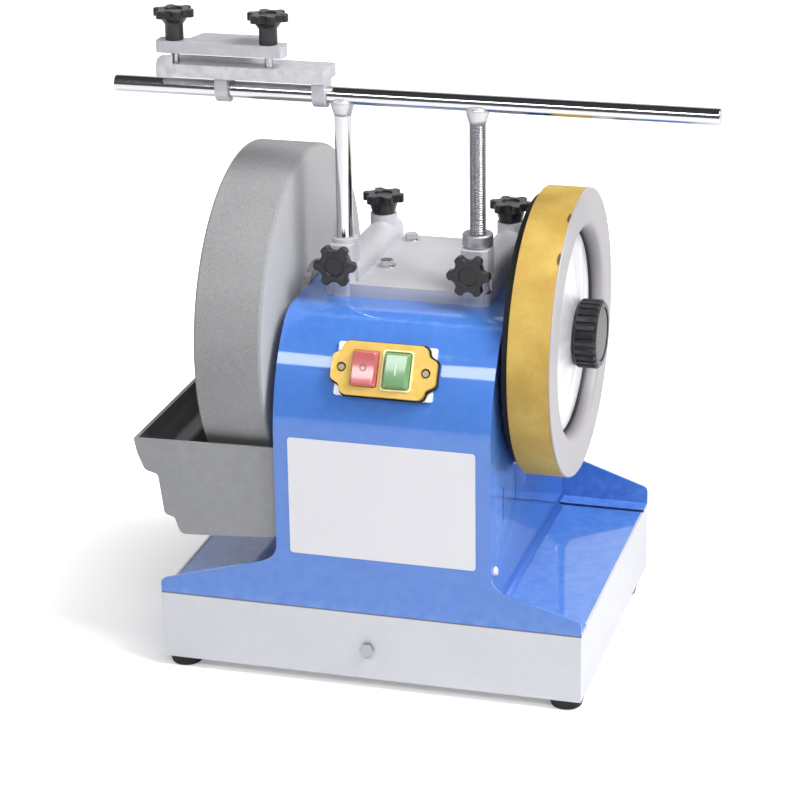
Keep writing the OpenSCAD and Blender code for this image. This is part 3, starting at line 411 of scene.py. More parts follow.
def new_finish(name, metallic=0.0, specular=0.5, coat=0.0, coat_roughness=0.1, coat_ior=1.5):
    finish = bpy.data.materials.new(name)
    finish.use_nodes = True
    shader = finish.node_tree.nodes["Principled BSDF"]
    look = {"Metallic": metallic, "Specular IOR Level": specular, "Coat Weight": coat,
            "Coat Roughness": coat_roughness, "Coat IOR": coat_ior}
    for socket, value in look.items():
        shader.inputs[socket].default_value = value
    finishes[name] = finish
    return finish.node_tree, shader


def place_group(tree, group, values):
    return add_node(tree, "ShaderNodeGroup", values, node_tree=group).outputs


def feed(tree, shader, colour, rough, height, depth):
    """Links a colour, a roughness and a relief of a given depth to a shader."""
    tree.links.new(colour, shader.inputs["Base Color"])
    tree.links.new(rough, shader.inputs["Roughness"])
    bump = add_node(tree, "ShaderNodeBump", {"Height": height, "Distance": depth, "Strength": 1.0})
    tree.links.new(bump.outputs[0], shader.inputs["Normal"])


def filmed(name, colour, edge_colour, rough, rough_drift, drift, relief_scale, depth, edge_lift, **look):
    """Paint or plastic: an even colour with a drift of tone, a fine relief and lighter edges."""
    tree, shader = new_finish(name, **look)
    skin = place_group(tree, film, {"Color": shade(*colour), "Relief Scale": relief_scale, "Drift": drift,
                                    "Roughness": rough, "Roughness Drift": rough_drift})
    edges = place_group(tree, edge_lightening, {"Color": skin["Color"], "Edge Color": shade(*edge_colour),
                                       "Amount": edge_lift})
    feed(tree, shader, edges["Color"], skin["Roughness"], skin["Height"], depth)
    return tree, shader


print("finishes so far:", len(finishes))

# %% [markdown]
# ### Paint
# The housing is sheet steel in glossy blue enamel, with the slight orange-peel of sprayed paint under
# a clear gloss. The motor inside has a plain dark paint, and the label is a film with a dull gloss.

# %% Painted sheet
# After the name: colour, colour of the lighter edges, roughness and its drift, drift of tone, scale and
# depth of the relief in metres, and how much the edges lighten (wear, and on the switch a painted
# highlight).
filmed("blue_paint", (67, 117, 199), (130, 172, 236), 0.36, 0.08, 0.05, 420.0, 0.00002, 0.35,
       specular=0.15, coat=1.0, coat_roughness=0.06, coat_ior=1.58)
filmed("motor_paint", (60, 62, 66), (120, 120, 122), 0.45, 0.1, 0.06, 800.0, 0.00003, 0.4)
filmed("label_film", (214, 214, 219), (203, 203, 208), 0.3, 0.06, 0.02, 300.0, 0.00001, 0.0,
       coat=0.3, coat_roughness=0.15)
print("painted:", list(finishes))

# %% [markdown]
# ### The base pan's paint
# The blue sheet hangs over the front of the pale base, and the shade under it is painted in as a dark line.
# The mask is the height under the deck, and it holds only in the plane of the front wall.

# %% Base paint
SHADE_LINE_HEIGHT = 1.4
SHADE_LINE_CORE = 0.6
SHADE_LINE_DARKNESS = 0.85
FRONT_WALL = (1.0, 2.0)


def base_finish():
    tree, shader = filmed("grey_paint", (199, 200, 206), (222, 223, 227), 0.42, 0.1, 0.05, 1500.0,
                          0.00003, 0.2, coat=0.1, coat_roughness=0.3)
    clean = shader.inputs["Base Color"].links[0].from_socket
    axes = object_axes(tree)
    low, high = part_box("base_pan")
    start = high.z - SHADE_LINE_HEIGHT * MM
    core = high.z - SHADE_LINE_CORE * SHADE_LINE_HEIGHT * MM
    # Painted shade: the base darkens in a thin line just under the blue sheet.
    under = spread(tree, axes["Z"], start, core, 0.0, SHADE_LINE_DARKNESS)
    front = spread(tree, axes["Y"], low.y + FRONT_WALL[0] * MM, low.y + FRONT_WALL[1] * MM, 1.0, 0.0)
    seam = math_node(tree, "MULTIPLY", under, front)
    tree.links.new(mix_colours(tree, seam, clean, shade(34, 44, 82)), shader.inputs["Base Color"])


base_finish()
print("base seam:", SHADE_LINE_HEIGHT, "mm")

# %% [markdown]
# ### Rubber and plastic
# Knobs and feet are nearly black, because no real plastic is fully black. The switch is moulded in clear
# signal colours with glossy buttons. The tray's inside is darker than its outside: painted shade in the
# basin.

# %% Rubber and plastic
filmed("knob_plastic", (21, 21, 24), (74, 75, 78), 0.36, 0.12, 0.15, 1300.0, 0.00004, 0.5)
filmed("black_plastic", (30, 30, 32), (70, 70, 72), 0.45, 0.1, 0.1, 1300.0, 0.00004, 0.4)
filmed("foot_rubber", (32, 32, 33), (64, 64, 65), 0.7, 0.1, 0.12, 900.0, 0.00006, 0.4, specular=0.3)
filmed("drive_rubber", (14, 14, 16), (40, 40, 42), 0.6, 0.1, 0.1, 900.0, 0.00005, 0.3, specular=0.35)
filmed("tray_plastic", (136, 137, 140), (168, 169, 171), 0.5, 0.1, 0.06, 1200.0, 0.00005, 0.45)
# The pale edge colours of the switch's yellow, red and green plastics are partly painted highlight.
filmed("yellow_plastic", (207, 167, 54), (245, 222, 150), 0.34, 0.08, 0.05, 900.0, 0.00002, 0.5)
filmed("red_plastic", (188, 94, 98), (240, 170, 165), 0.22, 0.06, 0.05, 900.0, 0.00001, 0.35, coat=1.0)
filmed("green_plastic", (99, 145, 99), (200, 226, 190), 0.22, 0.06, 0.05, 900.0, 0.00001, 0.35, coat=0.8)
filmed("off_mark_paint", (118, 82, 90), (134, 98, 104), 0.4, 0.05, 0.03, 900.0, 0.00001, 0.0)
filmed("on_mark_paint", (196, 220, 192), (206, 228, 204), 0.4, 0.05, 0.03, 900.0, 0.00001, 0.0)
filmed("cap_plastic", (78, 77, 80), (116, 115, 118), 0.4, 0.1, 0.06, 900.0, 0.00003, 0.3)
# Painted shade: the darker finish of the tray's inside.
filmed("tray_inside_shade", (88, 88, 90), (120, 120, 122), 0.42, 0.12, 0.1, 1200.0, 0.00005, 0.3)
# Painted highlight: the pale cream of the lip round the start button.
filmed("lip_painted_highlight", (238, 230, 176), (248, 244, 214), 0.3, 0.06, 0.04, 900.0, 0.00001, 0.4)
# Painted shade: the darker blue of the strip at the foot of the side panel.
filmed("panel_foot_shade_paint", (60, 108, 196), (80, 124, 204), 0.5, 0.1, 0.06, 420.0, 0.00002, 0.2)
# Painted shade: the dark blue of the seam under the wing flanges.
filmed("flange_edge_shade", (24, 44, 104), (40, 64, 130), 0.6, 0.1, 0.06, 420.0, 0.00002, 0.0)
print("finishes:", len(finishes))

# %% [markdown]
# ### The wheel's plastic
# The honing wheel is moulded in pale grey. Shade in its recess is painted in: the wall gets darker with its
# depth, and the narrow gap round the disc is a painted black line of shadow. Both masks are depths along
# the spindle, and they end at the mouth of the recess.

# %% Wheel plastic
GAP_SHADOW_DEPTH = 3.2
GAP_SHADOW_FADE = 0.4
RECESS_SHADE_START = 0.5
RECESS_SHADE_SHARE = 0.95
RECESS_MARGIN = 3.0
RECESS_FADE = 8.0


def wheel_finish():
    tree, shader = filmed("wheel_plastic", (164, 161, 164), (196, 195, 197), 0.46, 0.1, 0.05,
                          1100.0, 0.00004, 0.3)
    clean = shader.inputs["Base Color"].links[0].from_socket
    depth = object_axes(tree)["X"]
    radius = place_group(tree, turned, {})["Radius"]
    disc_low, disc_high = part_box("wheel_disc")
    edge = (disc_high.z - disc_low.z) / 2 + RECESS_MARGIN * MM
    gap_shadow_end = disc_low.x + GAP_SHADOW_DEPTH * MM
    inside = spread(tree, radius, edge, edge + RECESS_FADE * MM, 1.0, 0.0)
    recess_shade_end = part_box("honing_wheel")[1].x - RECESS_SHADE_START * MM
    recess_shade = spread(tree, depth, gap_shadow_end, recess_shade_end, RECESS_SHADE_SHARE, 0.0)
    deep = spread(tree, depth, gap_shadow_end, gap_shadow_end + GAP_SHADOW_FADE * MM, 1.0, 0.0)
    # Painted shade: the recess wall gets darker with its depth.
    tone = mix_colours(tree, math_node(tree, "MULTIPLY", recess_shade, inside), clean, shade(64, 62, 65))
    # Painted shadow: a black line in the narrow gap round the disc.
    tone = mix_colours(tree, math_node(tree, "MULTIPLY", deep, inside), tone, shade(26, 25, 27))
    tree.links.new(tone, shader.inputs["Base Color"])


wheel_finish()
print("gap of", GAP_SHADOW_DEPTH, "mm is dark")

# %% [markdown]
# ### Bare metal
# Drawn rod, turned nuts and rough castings differ mostly in how their roughness runs. The chromed bar
# is close to a mirror. The castings are tumbled, so they are rougher and have a pebbled relief. A tumbled
# surface is full of tiny pits that send light everywhere, so it counts as metal only in part.

# %% Metals
CAST_EDGE = (235, 235, 236)


def drawn_metal(name, tone, rough, rough_swing, stretch, depth):
    tree, shader = new_finish(name, metallic=1.0)
    marks = place_group(tree, drawn, {"Stretch": stretch, "Roughness": rough, "Swing": rough_swing})
    skin = place_group(tree, film, {"Color": shade(*tone), "Drift": 0.05})
    feed(tree, shader, skin["Color"], marks["Roughness"], marks["Height"], depth)


def cast_metal(name, tone, rough, relief_scale, depth, metallic=0.6):
    filmed(name, tone, CAST_EDGE, rough, rough_drift=0.14, drift=0.07, relief_scale=relief_scale,
           depth=depth, edge_lift=0.5, metallic=metallic)


drawn_metal("chromed_steel", (205, 206, 208), 0.11, 0.06, (40.0, 300.0, 300.0), 0.000002)
drawn_metal("threaded_steel", (160, 160, 163), 0.26, 0.1, (300.0, 300.0, 40.0), 0.000005)
drawn_metal("zinc_steel", (205, 206, 208), 0.26, 0.12, (300.0, 300.0, 900.0), 0.00001)
# Partly painted shade: the darker, yellowish tone of the switch screws in their recesses.
drawn_metal("dull_screw_in_shade", (150, 146, 132), 0.42, 0.14, (300.0, 300.0, 900.0), 0.00001)
drawn_metal("shaft_steel", (190, 191, 194), 0.24, 0.12, (30.0, 700.0, 700.0), 0.00001)
drawn_metal("nut_steel", (176, 176, 180), 0.5, 0.14, (120.0, 120.0, 1500.0), 0.00002)
drawn_metal("bush_bronze", (190, 140, 80), 0.3, 0.12, (700.0, 300.0, 300.0), 0.00001)
cast_metal("cast_aluminium", (198, 198, 203), 0.5, 260.0, 0.00012, metallic=0.35)
cast_metal("jig_aluminium", (184, 183, 190), 0.52, 700.0, 0.00003, metallic=0.4)
cast_metal("bright_zinc", (226, 230, 238), 0.4, 500.0, 0.00001, metallic=0.25)
cast_metal("weld_metal", (206, 206, 207), 0.42, 420.0, 0.0003)
cast_metal("motor_alloy", (170, 171, 174), 0.45, 300.0, 0.0001)
# Painted shade: a dark finish for the inner stone flange, deep in the gap beside the housing.
cast_metal("core_iron", (98, 96, 95), 0.5, 500.0, 0.00008)
print("finishes:", len(finishes))

# %% [markdown]
# ### Spun disc
# The disc in the wheel's recess is thin spun metal. It is bright, and its surface is not quite true, so
# what it mirrors is broken into soft streaks that run out from the middle. Rings come from the spinning,
# and a noise over the angle about the spindle paints the streaks into the colour as darker rays: a painted
# reflection.

# %% Spun disc finish
def spun_finish():
    tree, shader = new_finish("disc_aluminium", metallic=0.7)
    rings = place_group(tree, turned, {"Rings": 1800.0, "Roughness": 0.5, "Swing": 0.16})
    skin = place_group(tree, film, {"Color": shade(240, 240, 242), "Drift": 0.04, "Relief Scale": 90.0})
    axes = object_axes(tree)
    rise = math_node(tree, "SUBTRACT", axes["Z"], SPINDLE_HEIGHT)
    angle = math_node(tree, "ARCTAN2", axes["Y"], rise)
    # Painted reflection: darker streaks that run out from the spindle.
    painted_streaks = spread(tree, line_noise(tree, angle, 1.7, 1.0), 0.42, 0.66, 0.0, 0.45)
    tone = mix_colours(tree, painted_streaks, skin["Color"], shade(190, 190, 194))
    waves = math_node(tree, "ADD", skin["Height"], math_node(tree, "MULTIPLY", rings["Height"], 0.05))
    feed(tree, shader, tone, rings["Roughness"], waves, 0.0012)


spun_finish()
print("finishes:", len(finishes))

# %% [markdown]
# ### Bonded stone
# A grinding stone is grit held in a bond: pale and dark grains with tiny pores. Voronoi cells make the
# grains and a sharp noise makes the pores. Dressing the stone leaves faint rings on its faces, and steel
# has darkened the rim, where all the grinding is done, so the tone also depends on the radius.

# %% Stone finish
STONE_RIM = 1.2


def stone_finish():
    tree, shader = new_finish("stone_grit", specular=0.25)
    place = object_place(tree)
    grains = add_node(tree, "ShaderNodeTexVoronoi", {"Vector": place, "Scale": 1400.0})
    pores = noise_value(tree, place, 520.0, 6.0, 0.7)
    cloud = noise_value(tree, place, 18.0, 4.0)
    rings = place_group(tree, turned, {"Rings": 900.0, "Roughness": 0.9, "Swing": 0.05})
    speck = spread(tree, grains.outputs["Color"], 0.0, 1.0, 0.0, 1.0)
    tone = mix_colours(tree, speck, shade(128, 129, 130), shade(152, 153, 154))
    tone = mix_colours(tree, spread(tree, pores, 0.56, 0.72, 0.0, 0.5), tone, shade(110, 111, 113))
    tone = mix_colours(tree, spread(tree, cloud, 0.35, 0.7, 0.0, 0.3), tone, shade(168, 168, 169))
    low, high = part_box("grinding_stone")
    rim_start = (high.z - low.z) / 2 - STONE_RIM * MM
    fresh = spread(tree, rings["Radius"], rim_start - STONE_RIM * MM, rim_start, 0.6, 0.0)
    tone = mix_colours(tree, fresh, tone, shade(194, 194, 195))
    height = math_node(tree, "ADD", pores, math_node(tree, "MULTIPLY", rings["Height"], 0.3))
    feed(tree, shader, tone, rings["Roughness"], height, 0.00025)


stone_finish()
print("finishes:", len(finishes))

# %% [markdown]
# ### Oiled leather
# The honing band is hide, split and oiled: a warm tan with a fine pebble, slow darker clouds where oil
# and paste sit, and a satin sheen. Two nicks at its outer edge have gone dark.

# %% Leather finish
NICKS = ((115.2, -38.7, 339.6), (115.2, -71.0, 319.4))
NICK_SIZE = (1.7, 5.5, 5.0)


def nick_mask(tree, place, middle):
    offset = {0: place, 1: Vector(middle) * MM}
    offset = add_node(tree, "ShaderNodeVectorMath", offset, operation="SUBTRACT").outputs[0]
    scaled = {0: offset, 1: Vector(NICK_SIZE) * MM}
    scaled = add_node(tree, "ShaderNodeVectorMath", scaled, operation="DIVIDE").outputs[0]
    length = add_node(tree, "ShaderNodeVectorMath", {0: scaled}, operation="LENGTH")
    return spread(tree, length.outputs["Value"], 0.7, 1.1, 0.92, 0.0)


def leather_finish():
    tree, shader = new_finish("wheel_leather", specular=0.35)
    place = object_place(tree)
    pebble = add_node(tree, "ShaderNodeTexVoronoi", {"Vector": place, "Scale": 650.0},
                      feature="DISTANCE_TO_EDGE")
    fibre = noise_value(tree, place, 320.0, 6.0, 0.65)
    cloud = noise_value(tree, place, 34.0, 5.0)
    oiled = spread(tree, cloud, 0.3, 0.7, 0.0, 1.0)
    tone = mix_colours(tree, oiled, shade(178, 145, 68), shade(199, 169, 88))
    tone = mix_colours(tree, spread(tree, fibre, 0.5, 0.75, 0.0, 0.3), tone, shade(160, 122, 52))
    for middle in NICKS:
        tone = mix_colours(tree, nick_mask(tree, place, middle), tone, shade(74, 60, 34))
    rough = spread(tree, cloud, 0.3, 0.7, 0.6, 0.75)
    pebbled = math_node(tree, "MULTIPLY", pebble.outputs["Distance"], 0.8)
    feed(tree, shader, tone, rough, math_node(tree, "ADD", fibre, pebbled), 0.00018)


leather_finish()
print("finishes:", sorted(finishes))

# %% [markdown]
# ## Pieces
# A dressed piece is a mesh that rides on a body of the imported model and has a finish; most finishes are
# named after a material slot of the model.
# Most start as a copy of a node, in which split corners and flat triangles are joined again, so that only
# true edges are left. Normals weighted by area keep the large faces flat after rounding, so that a painted
# deck mirrors the room without bending it.

# %% Helpers for pieces
# The inner stone flange takes a dark finish: painted shade in the gap between stone and housing.
SPECIAL_FINISHES = {"switch_back_plate": "bright_zinc", "switch_screws": "dull_screw_in_shade",
                    "stone_flange_inner": "core_iron", "panel_screws": "bright_zinc",
                    "base_bolt": "nut_steel"}
SHARP_DEGREES = 32.0
FLAT_ANGLE = math.radians(0.4)
SPLIT_PLAY = 0.002
SAME_PLACE = 0.01
slot_of_node = {entry["node"]: entry["material_slot"] for entry in frame["record"]["subparts"]}
bodies = frame["record"]["behaviour"]["bodies"]
body_of_node = {node: body for body, nodes in bodies.items() for node in nodes}


def finish_piece(piece, body, finish):
    piece.data.materials.clear()
    piece.data.materials.append(finishes[finish])
    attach(piece, body)
    return piece


def mesh_piece(name, shape, smooth=True):
    mesh = bpy.data.meshes.new(name)
    shape.to_mesh(mesh)
    shape.free()
    for polygon in mesh.polygons:
        polygon.use_smooth = smooth
    return new_object(name, mesh)


def round_edges(piece, width, segments=2, limit=SHARP_DEGREES, marked=False):
    bevel = piece.modifiers.new("eased edges", "BEVEL")
    bevel.width = width * MM
    bevel.segments = segments
    bevel.limit_method = "WEIGHT" if marked else "ANGLE"
    bevel.angle_limit = math.radians(limit)
    flatten = piece.modifiers.new("flat faces", "WEIGHTED_NORMAL")
    flatten.weight = 100
    flatten.keep_sharp = True
    return piece


def is_near(first, second, play=SAME_PLACE):
    """True for two lengths in metres that differ by less than a play in millimetres."""
    return abs(first - second) < play * MM


def join_flat(shape, play):
    """Joins split corners that lie within the play, and the triangles of flat faces."""
    bmesh.ops.remove_doubles(shape, verts=shape.verts, dist=play * MM)
    bmesh.ops.dissolve_limit(shape, angle_limit=FLAT_ANGLE, verts=shape.verts, edges=shape.edges)
    return shape


def round_between(shape, groups, width, steps):
    """Rounds the edges that join two points of the same group, and tells how many they are."""
    edges = [e for e in shape.edges for group in groups if e.verts[0] in group and e.verts[1] in group]
    bmesh.ops.bevel(shape, geom=edges, offset=width * MM, segments=steps, profile=0.5, affect="EDGES")
    return len(edges)


def node_shape(node):
    shape = bmesh.new()
    shape.from_mesh(frame["nodes"][node].data)
    return join_flat(shape, SPLIT_PLAY)


print("nodes with a finish of their own:", len(SPECIAL_FINISHES))

# %% [markdown]
# ## Easing the edges
# A CAD solid has perfectly sharp edges, and no real piece has. A sharp edge also never catches the light.
# Each node that shows is copied, and a bevel eases its edges by about what the real process leaves: a
# fold, a casting radius or a moulding radius. The widths are in millimetres.

# %% Copy the nodes and ease their edges
def ease_node(node, width):
    piece = mesh_piece("eased_" + node, node_shape(node))
    round_edges(piece, width)
    slot = slot_of_node[node]
    finish_piece(piece, body_of_node[node], SPECIAL_FINISHES.get(node, slot))
    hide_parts(node)
    return piece


EDGE_WIDTHS = {
    "base_pan": 1.2, "deck_plate": 0.7, "housing_shell": 0.6, "side_panel_left": 0.4,
    "side_panel_right": 0.4, "jig_clamp_plate": 0.9, "switch_cover": 1.2, "switch_gasket": 0.4,
    "switch_back_plate": 0.25, "water_tray": 0.8, "hand_knob": 0.4, "grinding_stone": 0.8,
    "drive_ring": 0.6, "adjusting_nut": 0.35, "rubber_feet": 1.0, "base_bolt": 0.5, "stone_nut": 0.6,
    "stone_flange_outer": 0.6, "cable_gland": 0.6, "support_bar": 0.9, "wheel_disc": 0.3,
    "support_leg_left": 0.3, "leather_band": 0.6, "casting_screws": 0.5,
}
dressed = {node: ease_node(node, width) for node, width in EDGE_WIDTHS.items()}
print("eased pieces:", len(dressed))

# %% [markdown]
# ## The honing wheel's shoulder
# The recess of the moulded wheel opens with a wide, soft shoulder, so the light fades from its face into
# its wall. The model has a small chamfer there. Its two rings of points are moved apart and the band
# between them is rounded.

# %% Widen the shoulder
SHOULDER_OUT = 3.5
SHOULDER_IN = 5.0
SHOULDER_ROUNDING = 2.6
SHOULDER_STEPS = 5
CHAMFER = 1.5
RING_PLAY = 0.1
WHEEL_EDGE = 0.6


def spindle_radius(point):
    return math.hypot(point.y, point.z - SPINDLE_HEIGHT)


def ring_at(shape, x, radius):
    """The points round the spindle at one place along it and one distance from it."""
    return [vert for vert in shape.verts
            if is_near(vert.co.x, x) and is_near(spindle_radius(vert.co), radius, RING_PLAY)]


def shouldered_wheel():
    shape = node_shape("honing_wheel")
    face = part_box("honing_wheel")[1].x
    mouth = min(spindle_radius(v.co) for v in shape.verts if is_near(v.co.x, face))
    rings = [ring_at(shape, face - less, mouth - less) for less in (0.0, CHAMFER * MM)]
    for vert in rings[0]:
        grow = 1.0 + SHOULDER_OUT * MM / mouth
        vert.co.y *= grow
        vert.co.z = SPINDLE_HEIGHT + (vert.co.z - SPINDLE_HEIGHT) * grow
    for vert in rings[1]:
        vert.co.x -= SHOULDER_IN * MM
    round_between(shape, rings, SHOULDER_ROUNDING, SHOULDER_STEPS)
    return shape


wheel = round_edges(mesh_piece("shouldered_wheel", shouldered_wheel()), WHEEL_EDGE)
finish_piece(wheel, "spindle", "wheel_plastic")
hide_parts("honing_wheel")
dressed["honing_wheel"] = wheel
print("wheel faces:", len(wheel.data.polygons))

# %% [markdown]
# ## The jig's stop
# A tongue at the jig's left end stops the blade. The model has a square block there. On the real jig it
# reaches the end of the body and its top falls away in a curve, so the block's left side is moved out and
# its upper edge is rounded with a large radius.

# %% Round the stop
STOP_INSET = 4.0
STOP_SHIFT = 2.2
STOP_RADIUS = 5.5
STOP_STEPS = 6
JIG_EDGE = 0.8


def rounded_stop():
    shape = node_shape("jig_body")
    low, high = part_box("jig_body")
    for vert in shape.verts:
        if is_near(vert.co.x, low.x + STOP_INSET * MM):
            vert.co.x -= STOP_SHIFT * MM
    left = low.x + (STOP_INSET - STOP_SHIFT) * MM
    corner = [v for v in shape.verts if is_near(v.co.z, high.z) and is_near(v.co.x, left)]
    print("rounded stop edges:", round_between(shape, [corner], STOP_RADIUS, STOP_STEPS))
    return shape


jig = round_edges(mesh_piece("rounded_jig_body", rounded_stop()), JIG_EDGE)
finish_piece(jig, body_of_node["jig_body"], "jig_aluminium")
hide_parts("jig_body")
dressed["jig_body"] = jig
print("jig faces:", len(jig.data.polygons))

# %% [markdown]
# ## The seam under the wings
# The wings stand on flanges that lie on the deck. Their cut edges look to the front, above a narrow seam.
# The faces are found by their place and direction and take a dark blue finish: painted shade of the seam.

# %% Darken the flange edges
SHEET_T = 2.0
FRONT_NORMAL = -0.9
deck_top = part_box("deck_plate")[1].z


def second_finish(piece, finish, chosen):
    """Gives the faces that a test picks out a finish of their own."""
    piece.data.materials.append(finishes[finish])
    faces = [polygon for polygon in piece.data.polygons if chosen(polygon)]
    for polygon in faces:
        polygon.material_index = 1
    return len(faces)


def is_flange_edge(polygon):
    on_deck = deck_top < polygon.center.z < deck_top + SHEET_T * MM
    return on_deck and polygon.normal.y < FRONT_NORMAL and polygon.center.y > 0.0


# The flange edges take the painted shade of the seam.
print("seam faces:", second_finish(dressed["housing_shell"], "flange_edge_shade", is_flange_edge))

# %% [markdown]
# ## The inside of the tray
# The tray's inside takes a darker finish than the outside: painted shade in the basin. A face belongs to
# the inside if it looks towards a point in the middle of the opening.

# %% Darken the tray's inside
INSIDE_DROP = 5.0
tray_low, tray_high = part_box("water_tray")
tray_middle = (tray_low + tray_high) / 2
tray_middle.z = tray_high.z - INSIDE_DROP * MM


def is_inside(polygon):
    return polygon.normal.dot(tray_middle - polygon.center) > 0.0


# The faces inside the basin take the painted shade.
print("shaded faces:", second_finish(dressed["water_tray"], "tray_inside_shade", is_inside))

# %% [markdown]
# ## The knobs
# Moulded knobs are rounder than anything else on the machine, so that they are kind to the hand. Their
# heads get a wide, finely stepped rounding. Only edges that stand out are marked for it, because rounding
# the ends of the bores would fill the room that the studs need. Behind the lobes there is little room
# beside the hub, so the edges there are rounded less.

# %% Round the knobs
KNOB_ROUNDING = 1.9
KNOB_STEPS = 4
BACK_SHARE = 0.15


def mark_convex(shape, outward):
    weight = shape.edges.layers.float.new("bevel_weight_edge")
    front = max(vert.co.dot(outward) for vert in shape.verts)
    for edge in shape.edges:
        if edge.is_convex and edge.calc_face_angle(0.0) > math.radians(SHARP_DEGREES):
            in_front = all(is_near(vert.co.dot(outward), front) for vert in edge.verts)
            edge[weight] = 1.0 if in_front else BACK_SHARE
    return shape


def rounded_knob(node):
    outward = Vector((0, -1, 0)) if node.startswith("front") else Vector((0, 0, 1))
    knob = mesh_piece("eased_" + node, mark_convex(node_shape(node), outward))
    round_edges(knob, KNOB_ROUNDING, segments=KNOB_STEPS, marked=True)
    finish_piece(knob, body_of_node[node], slot_of_node[node])
    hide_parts(node)
    return knob


for node in slot_of_node:
    if node.endswith(("knob_left", "knob_right")):
        dressed[node] = rounded_knob(node)
print("rounded knobs:", sum("knob_" in node for node in dressed))

# %% [markdown]
# ## The casting
# The tool support is one aluminium casting. In the model its plate and its two sleeve blocks are separate
# solids, so that the space between the sleeves stays open for collision. Here the three are joined again:
# the faces where they touch are taken out and the corners welded, so that no seam shows. The lying
# sleeves also run on past the middle of the upright ones, as a web that a mould-maker would leave there.

# %% Join the casting
RAIL_START = -27.0
RAIL_FRONT = -43.0
CUT_PLAY = 0.001
WELD_PLAY = 0.02
CASTING_EDGE = 1.0


def cut_along(shape, point, normal, keep_front_only=False):
    """Cuts all faces with a plane, and can drop what lies behind it."""
    everything = shape.verts[:] + shape.edges[:] + shape.faces[:]
    bmesh.ops.bisect_plane(shape, geom=everything, plane_co=Vector(point) * MM, plane_no=normal,
                           dist=CUT_PLAY * MM, clear_inner=keep_front_only)


def drop_faces(shape, unwanted):
    doomed = [face for face in shape.faces if unwanted(face.calc_center_median() / MM)]
    bmesh.ops.delete(shape, geom=doomed, context="FACES")


def add_shape(shape, other):
    mesh = bpy.data.meshes.new("joined_in")
    other.to_mesh(mesh)
    other.free()
    shape.from_mesh(mesh)
    bpy.data.meshes.remove(mesh)


def joined_casting():
    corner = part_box("casting_plate")[1] / MM
    seam, plate_top = corner.x, corner.z
    casting = node_shape("casting_plate")
    cut_along(casting, (0.0, RAIL_FRONT, 0.0), (0.0, 1.0, 0.0))
    drop_faces(casting, lambda middle: abs(abs(middle.x) - seam) < SAME_PLACE)
    for node in ("casting_sleeves_left", "casting_sleeves_right"):
        block = node_shape(node)
        for vert in block.verts:
            if is_near(vert.co.y, RAIL_START * MM):
                vert.co.y = RAIL_FRONT * MM
        cut_along(block, (0.0, 0.0, plate_top), (0.0, 0.0, 1.0))
        drop_faces(block, lambda middle: abs(abs(middle.x) - seam) < SAME_PLACE and middle.z < plate_top)
        add_shape(casting, block)
    return join_flat(casting, WELD_PLAY)


casting = round_edges(mesh_piece("tool_support_casting", joined_casting()), CASTING_EDGE)
finish_piece(casting, "housing", "cast_aluminium")
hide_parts("casting_plate", "casting_sleeves_left", "casting_sleeves_right")
for node in ("casting_plate", "casting_sleeves_left", "casting_sleeves_right"):
    dressed[node] = casting
print("casting faces:", len(casting.data.polygons))

# %% [markdown]
# ## Outlines and rings
# The small details that follow are all made in one way. An outline is a list of points, and a shape is a
# pile of outlines, each at its own height. Every outline becomes a ring of corners, neighbouring rings are
# joined by a band of faces, and the first and the last ring are closed with a cap. All lengths here are
# millimetres.

# %% Helpers for outlines and rings
def round_outline(sides, reach, middle=(0.0, 0.0)):
    """Points round a middle. The reach is a function that gives the distance for an angle."""
    angles = [2 * math.pi * i / sides for i in range(sides)]
    return [(middle[0] + reach(a) * math.cos(a), middle[1] + reach(a) * math.sin(a)) for a in angles]


def rounded_rectangle(width, height, corner, steps=6):
    points = []
    for quarter, (sx, sy) in enumerate(((1, 1), (-1, 1), (-1, -1), (1, -1))):
        for step in range(steps + 1):
            angle = math.radians(90 * quarter + 90 * step / steps)
            points.append((sx * (width / 2 - corner) + corner * math.cos(angle),
                           sy * (height / 2 - corner) + corner * math.sin(angle)))
    return points


def add_rings(shape, layers):
    return [[shape.verts.new(Vector((x, y, height)) * MM) for x, y in outline]
            for outline, height in layers]


def join_rings(shape, rings):
    for below, above in zip(rings, rings[1:]):
        for i in range(len(below)):
            j = (i + 1) % len(below)
            shape.faces.new((below[i], below[j], above[j], above[i]))
    return shape


def stack_layers(shape, layers):
    """Adds a closed solid through outlines of equal length, each given with its height."""
    rings = add_rings(shape, layers)
    shape.faces.new(list(reversed(rings[0])))
    shape.faces.new(rings[-1])
    return join_rings(shape, rings)


def plate_shape(outline, low, high):
    return stack_layers(bmesh.new(), [(outline, low), (outline, high)])


def frame_shape(outer, inner, low, high):
    """A closed frame between an outer and an inner outline."""
    shape = bmesh.new()
    rings = add_rings(shape, [(outer, low), (outer, high), (inner, high), (inner, low)])
    return join_rings(shape, rings + rings[:1])


def tipped_up(point, angle=math.radians(90)):
    """A frame at a point in metres, tipped up about the X axis."""
    return Matrix.Translation(point) @ Matrix.Rotation(angle, 4, "X")


print("corners of a rounded square:", len(rounded_rectangle(1.0, 1.0, 0.1)))

# %% [markdown]
# ## The threaded leg
# The right leg of the support is a threaded rod, and the nut on it sets the height. The thread is a real
# helix: the radius of each point follows the phase between its height and its angle. The upper end with
# its weld collar is kept from the solid.

# %% Cut the thread
THREAD_PITCH = 1.75
THREAD_DEPTH = 0.75
THREAD_STEEPNESS = 1.3
THREAD_ROWS = 8
THREAD_SIDES = 40
THREAD_END = 404.0
THREAD_GAP = 0.01
SLEEVE_PLAY = 0.05
mounts = {mount["name"]: mount for mount in frame["record"]["mounts"]}


def thread_radius(outer, turns):
    slope = abs(2.0 * (turns % 1.0) - 1.0)
    depth = 0.5 + THREAD_STEEPNESS * (slope - 0.5)
    return outer - THREAD_DEPTH * min(max(depth, 0.0), 1.0)


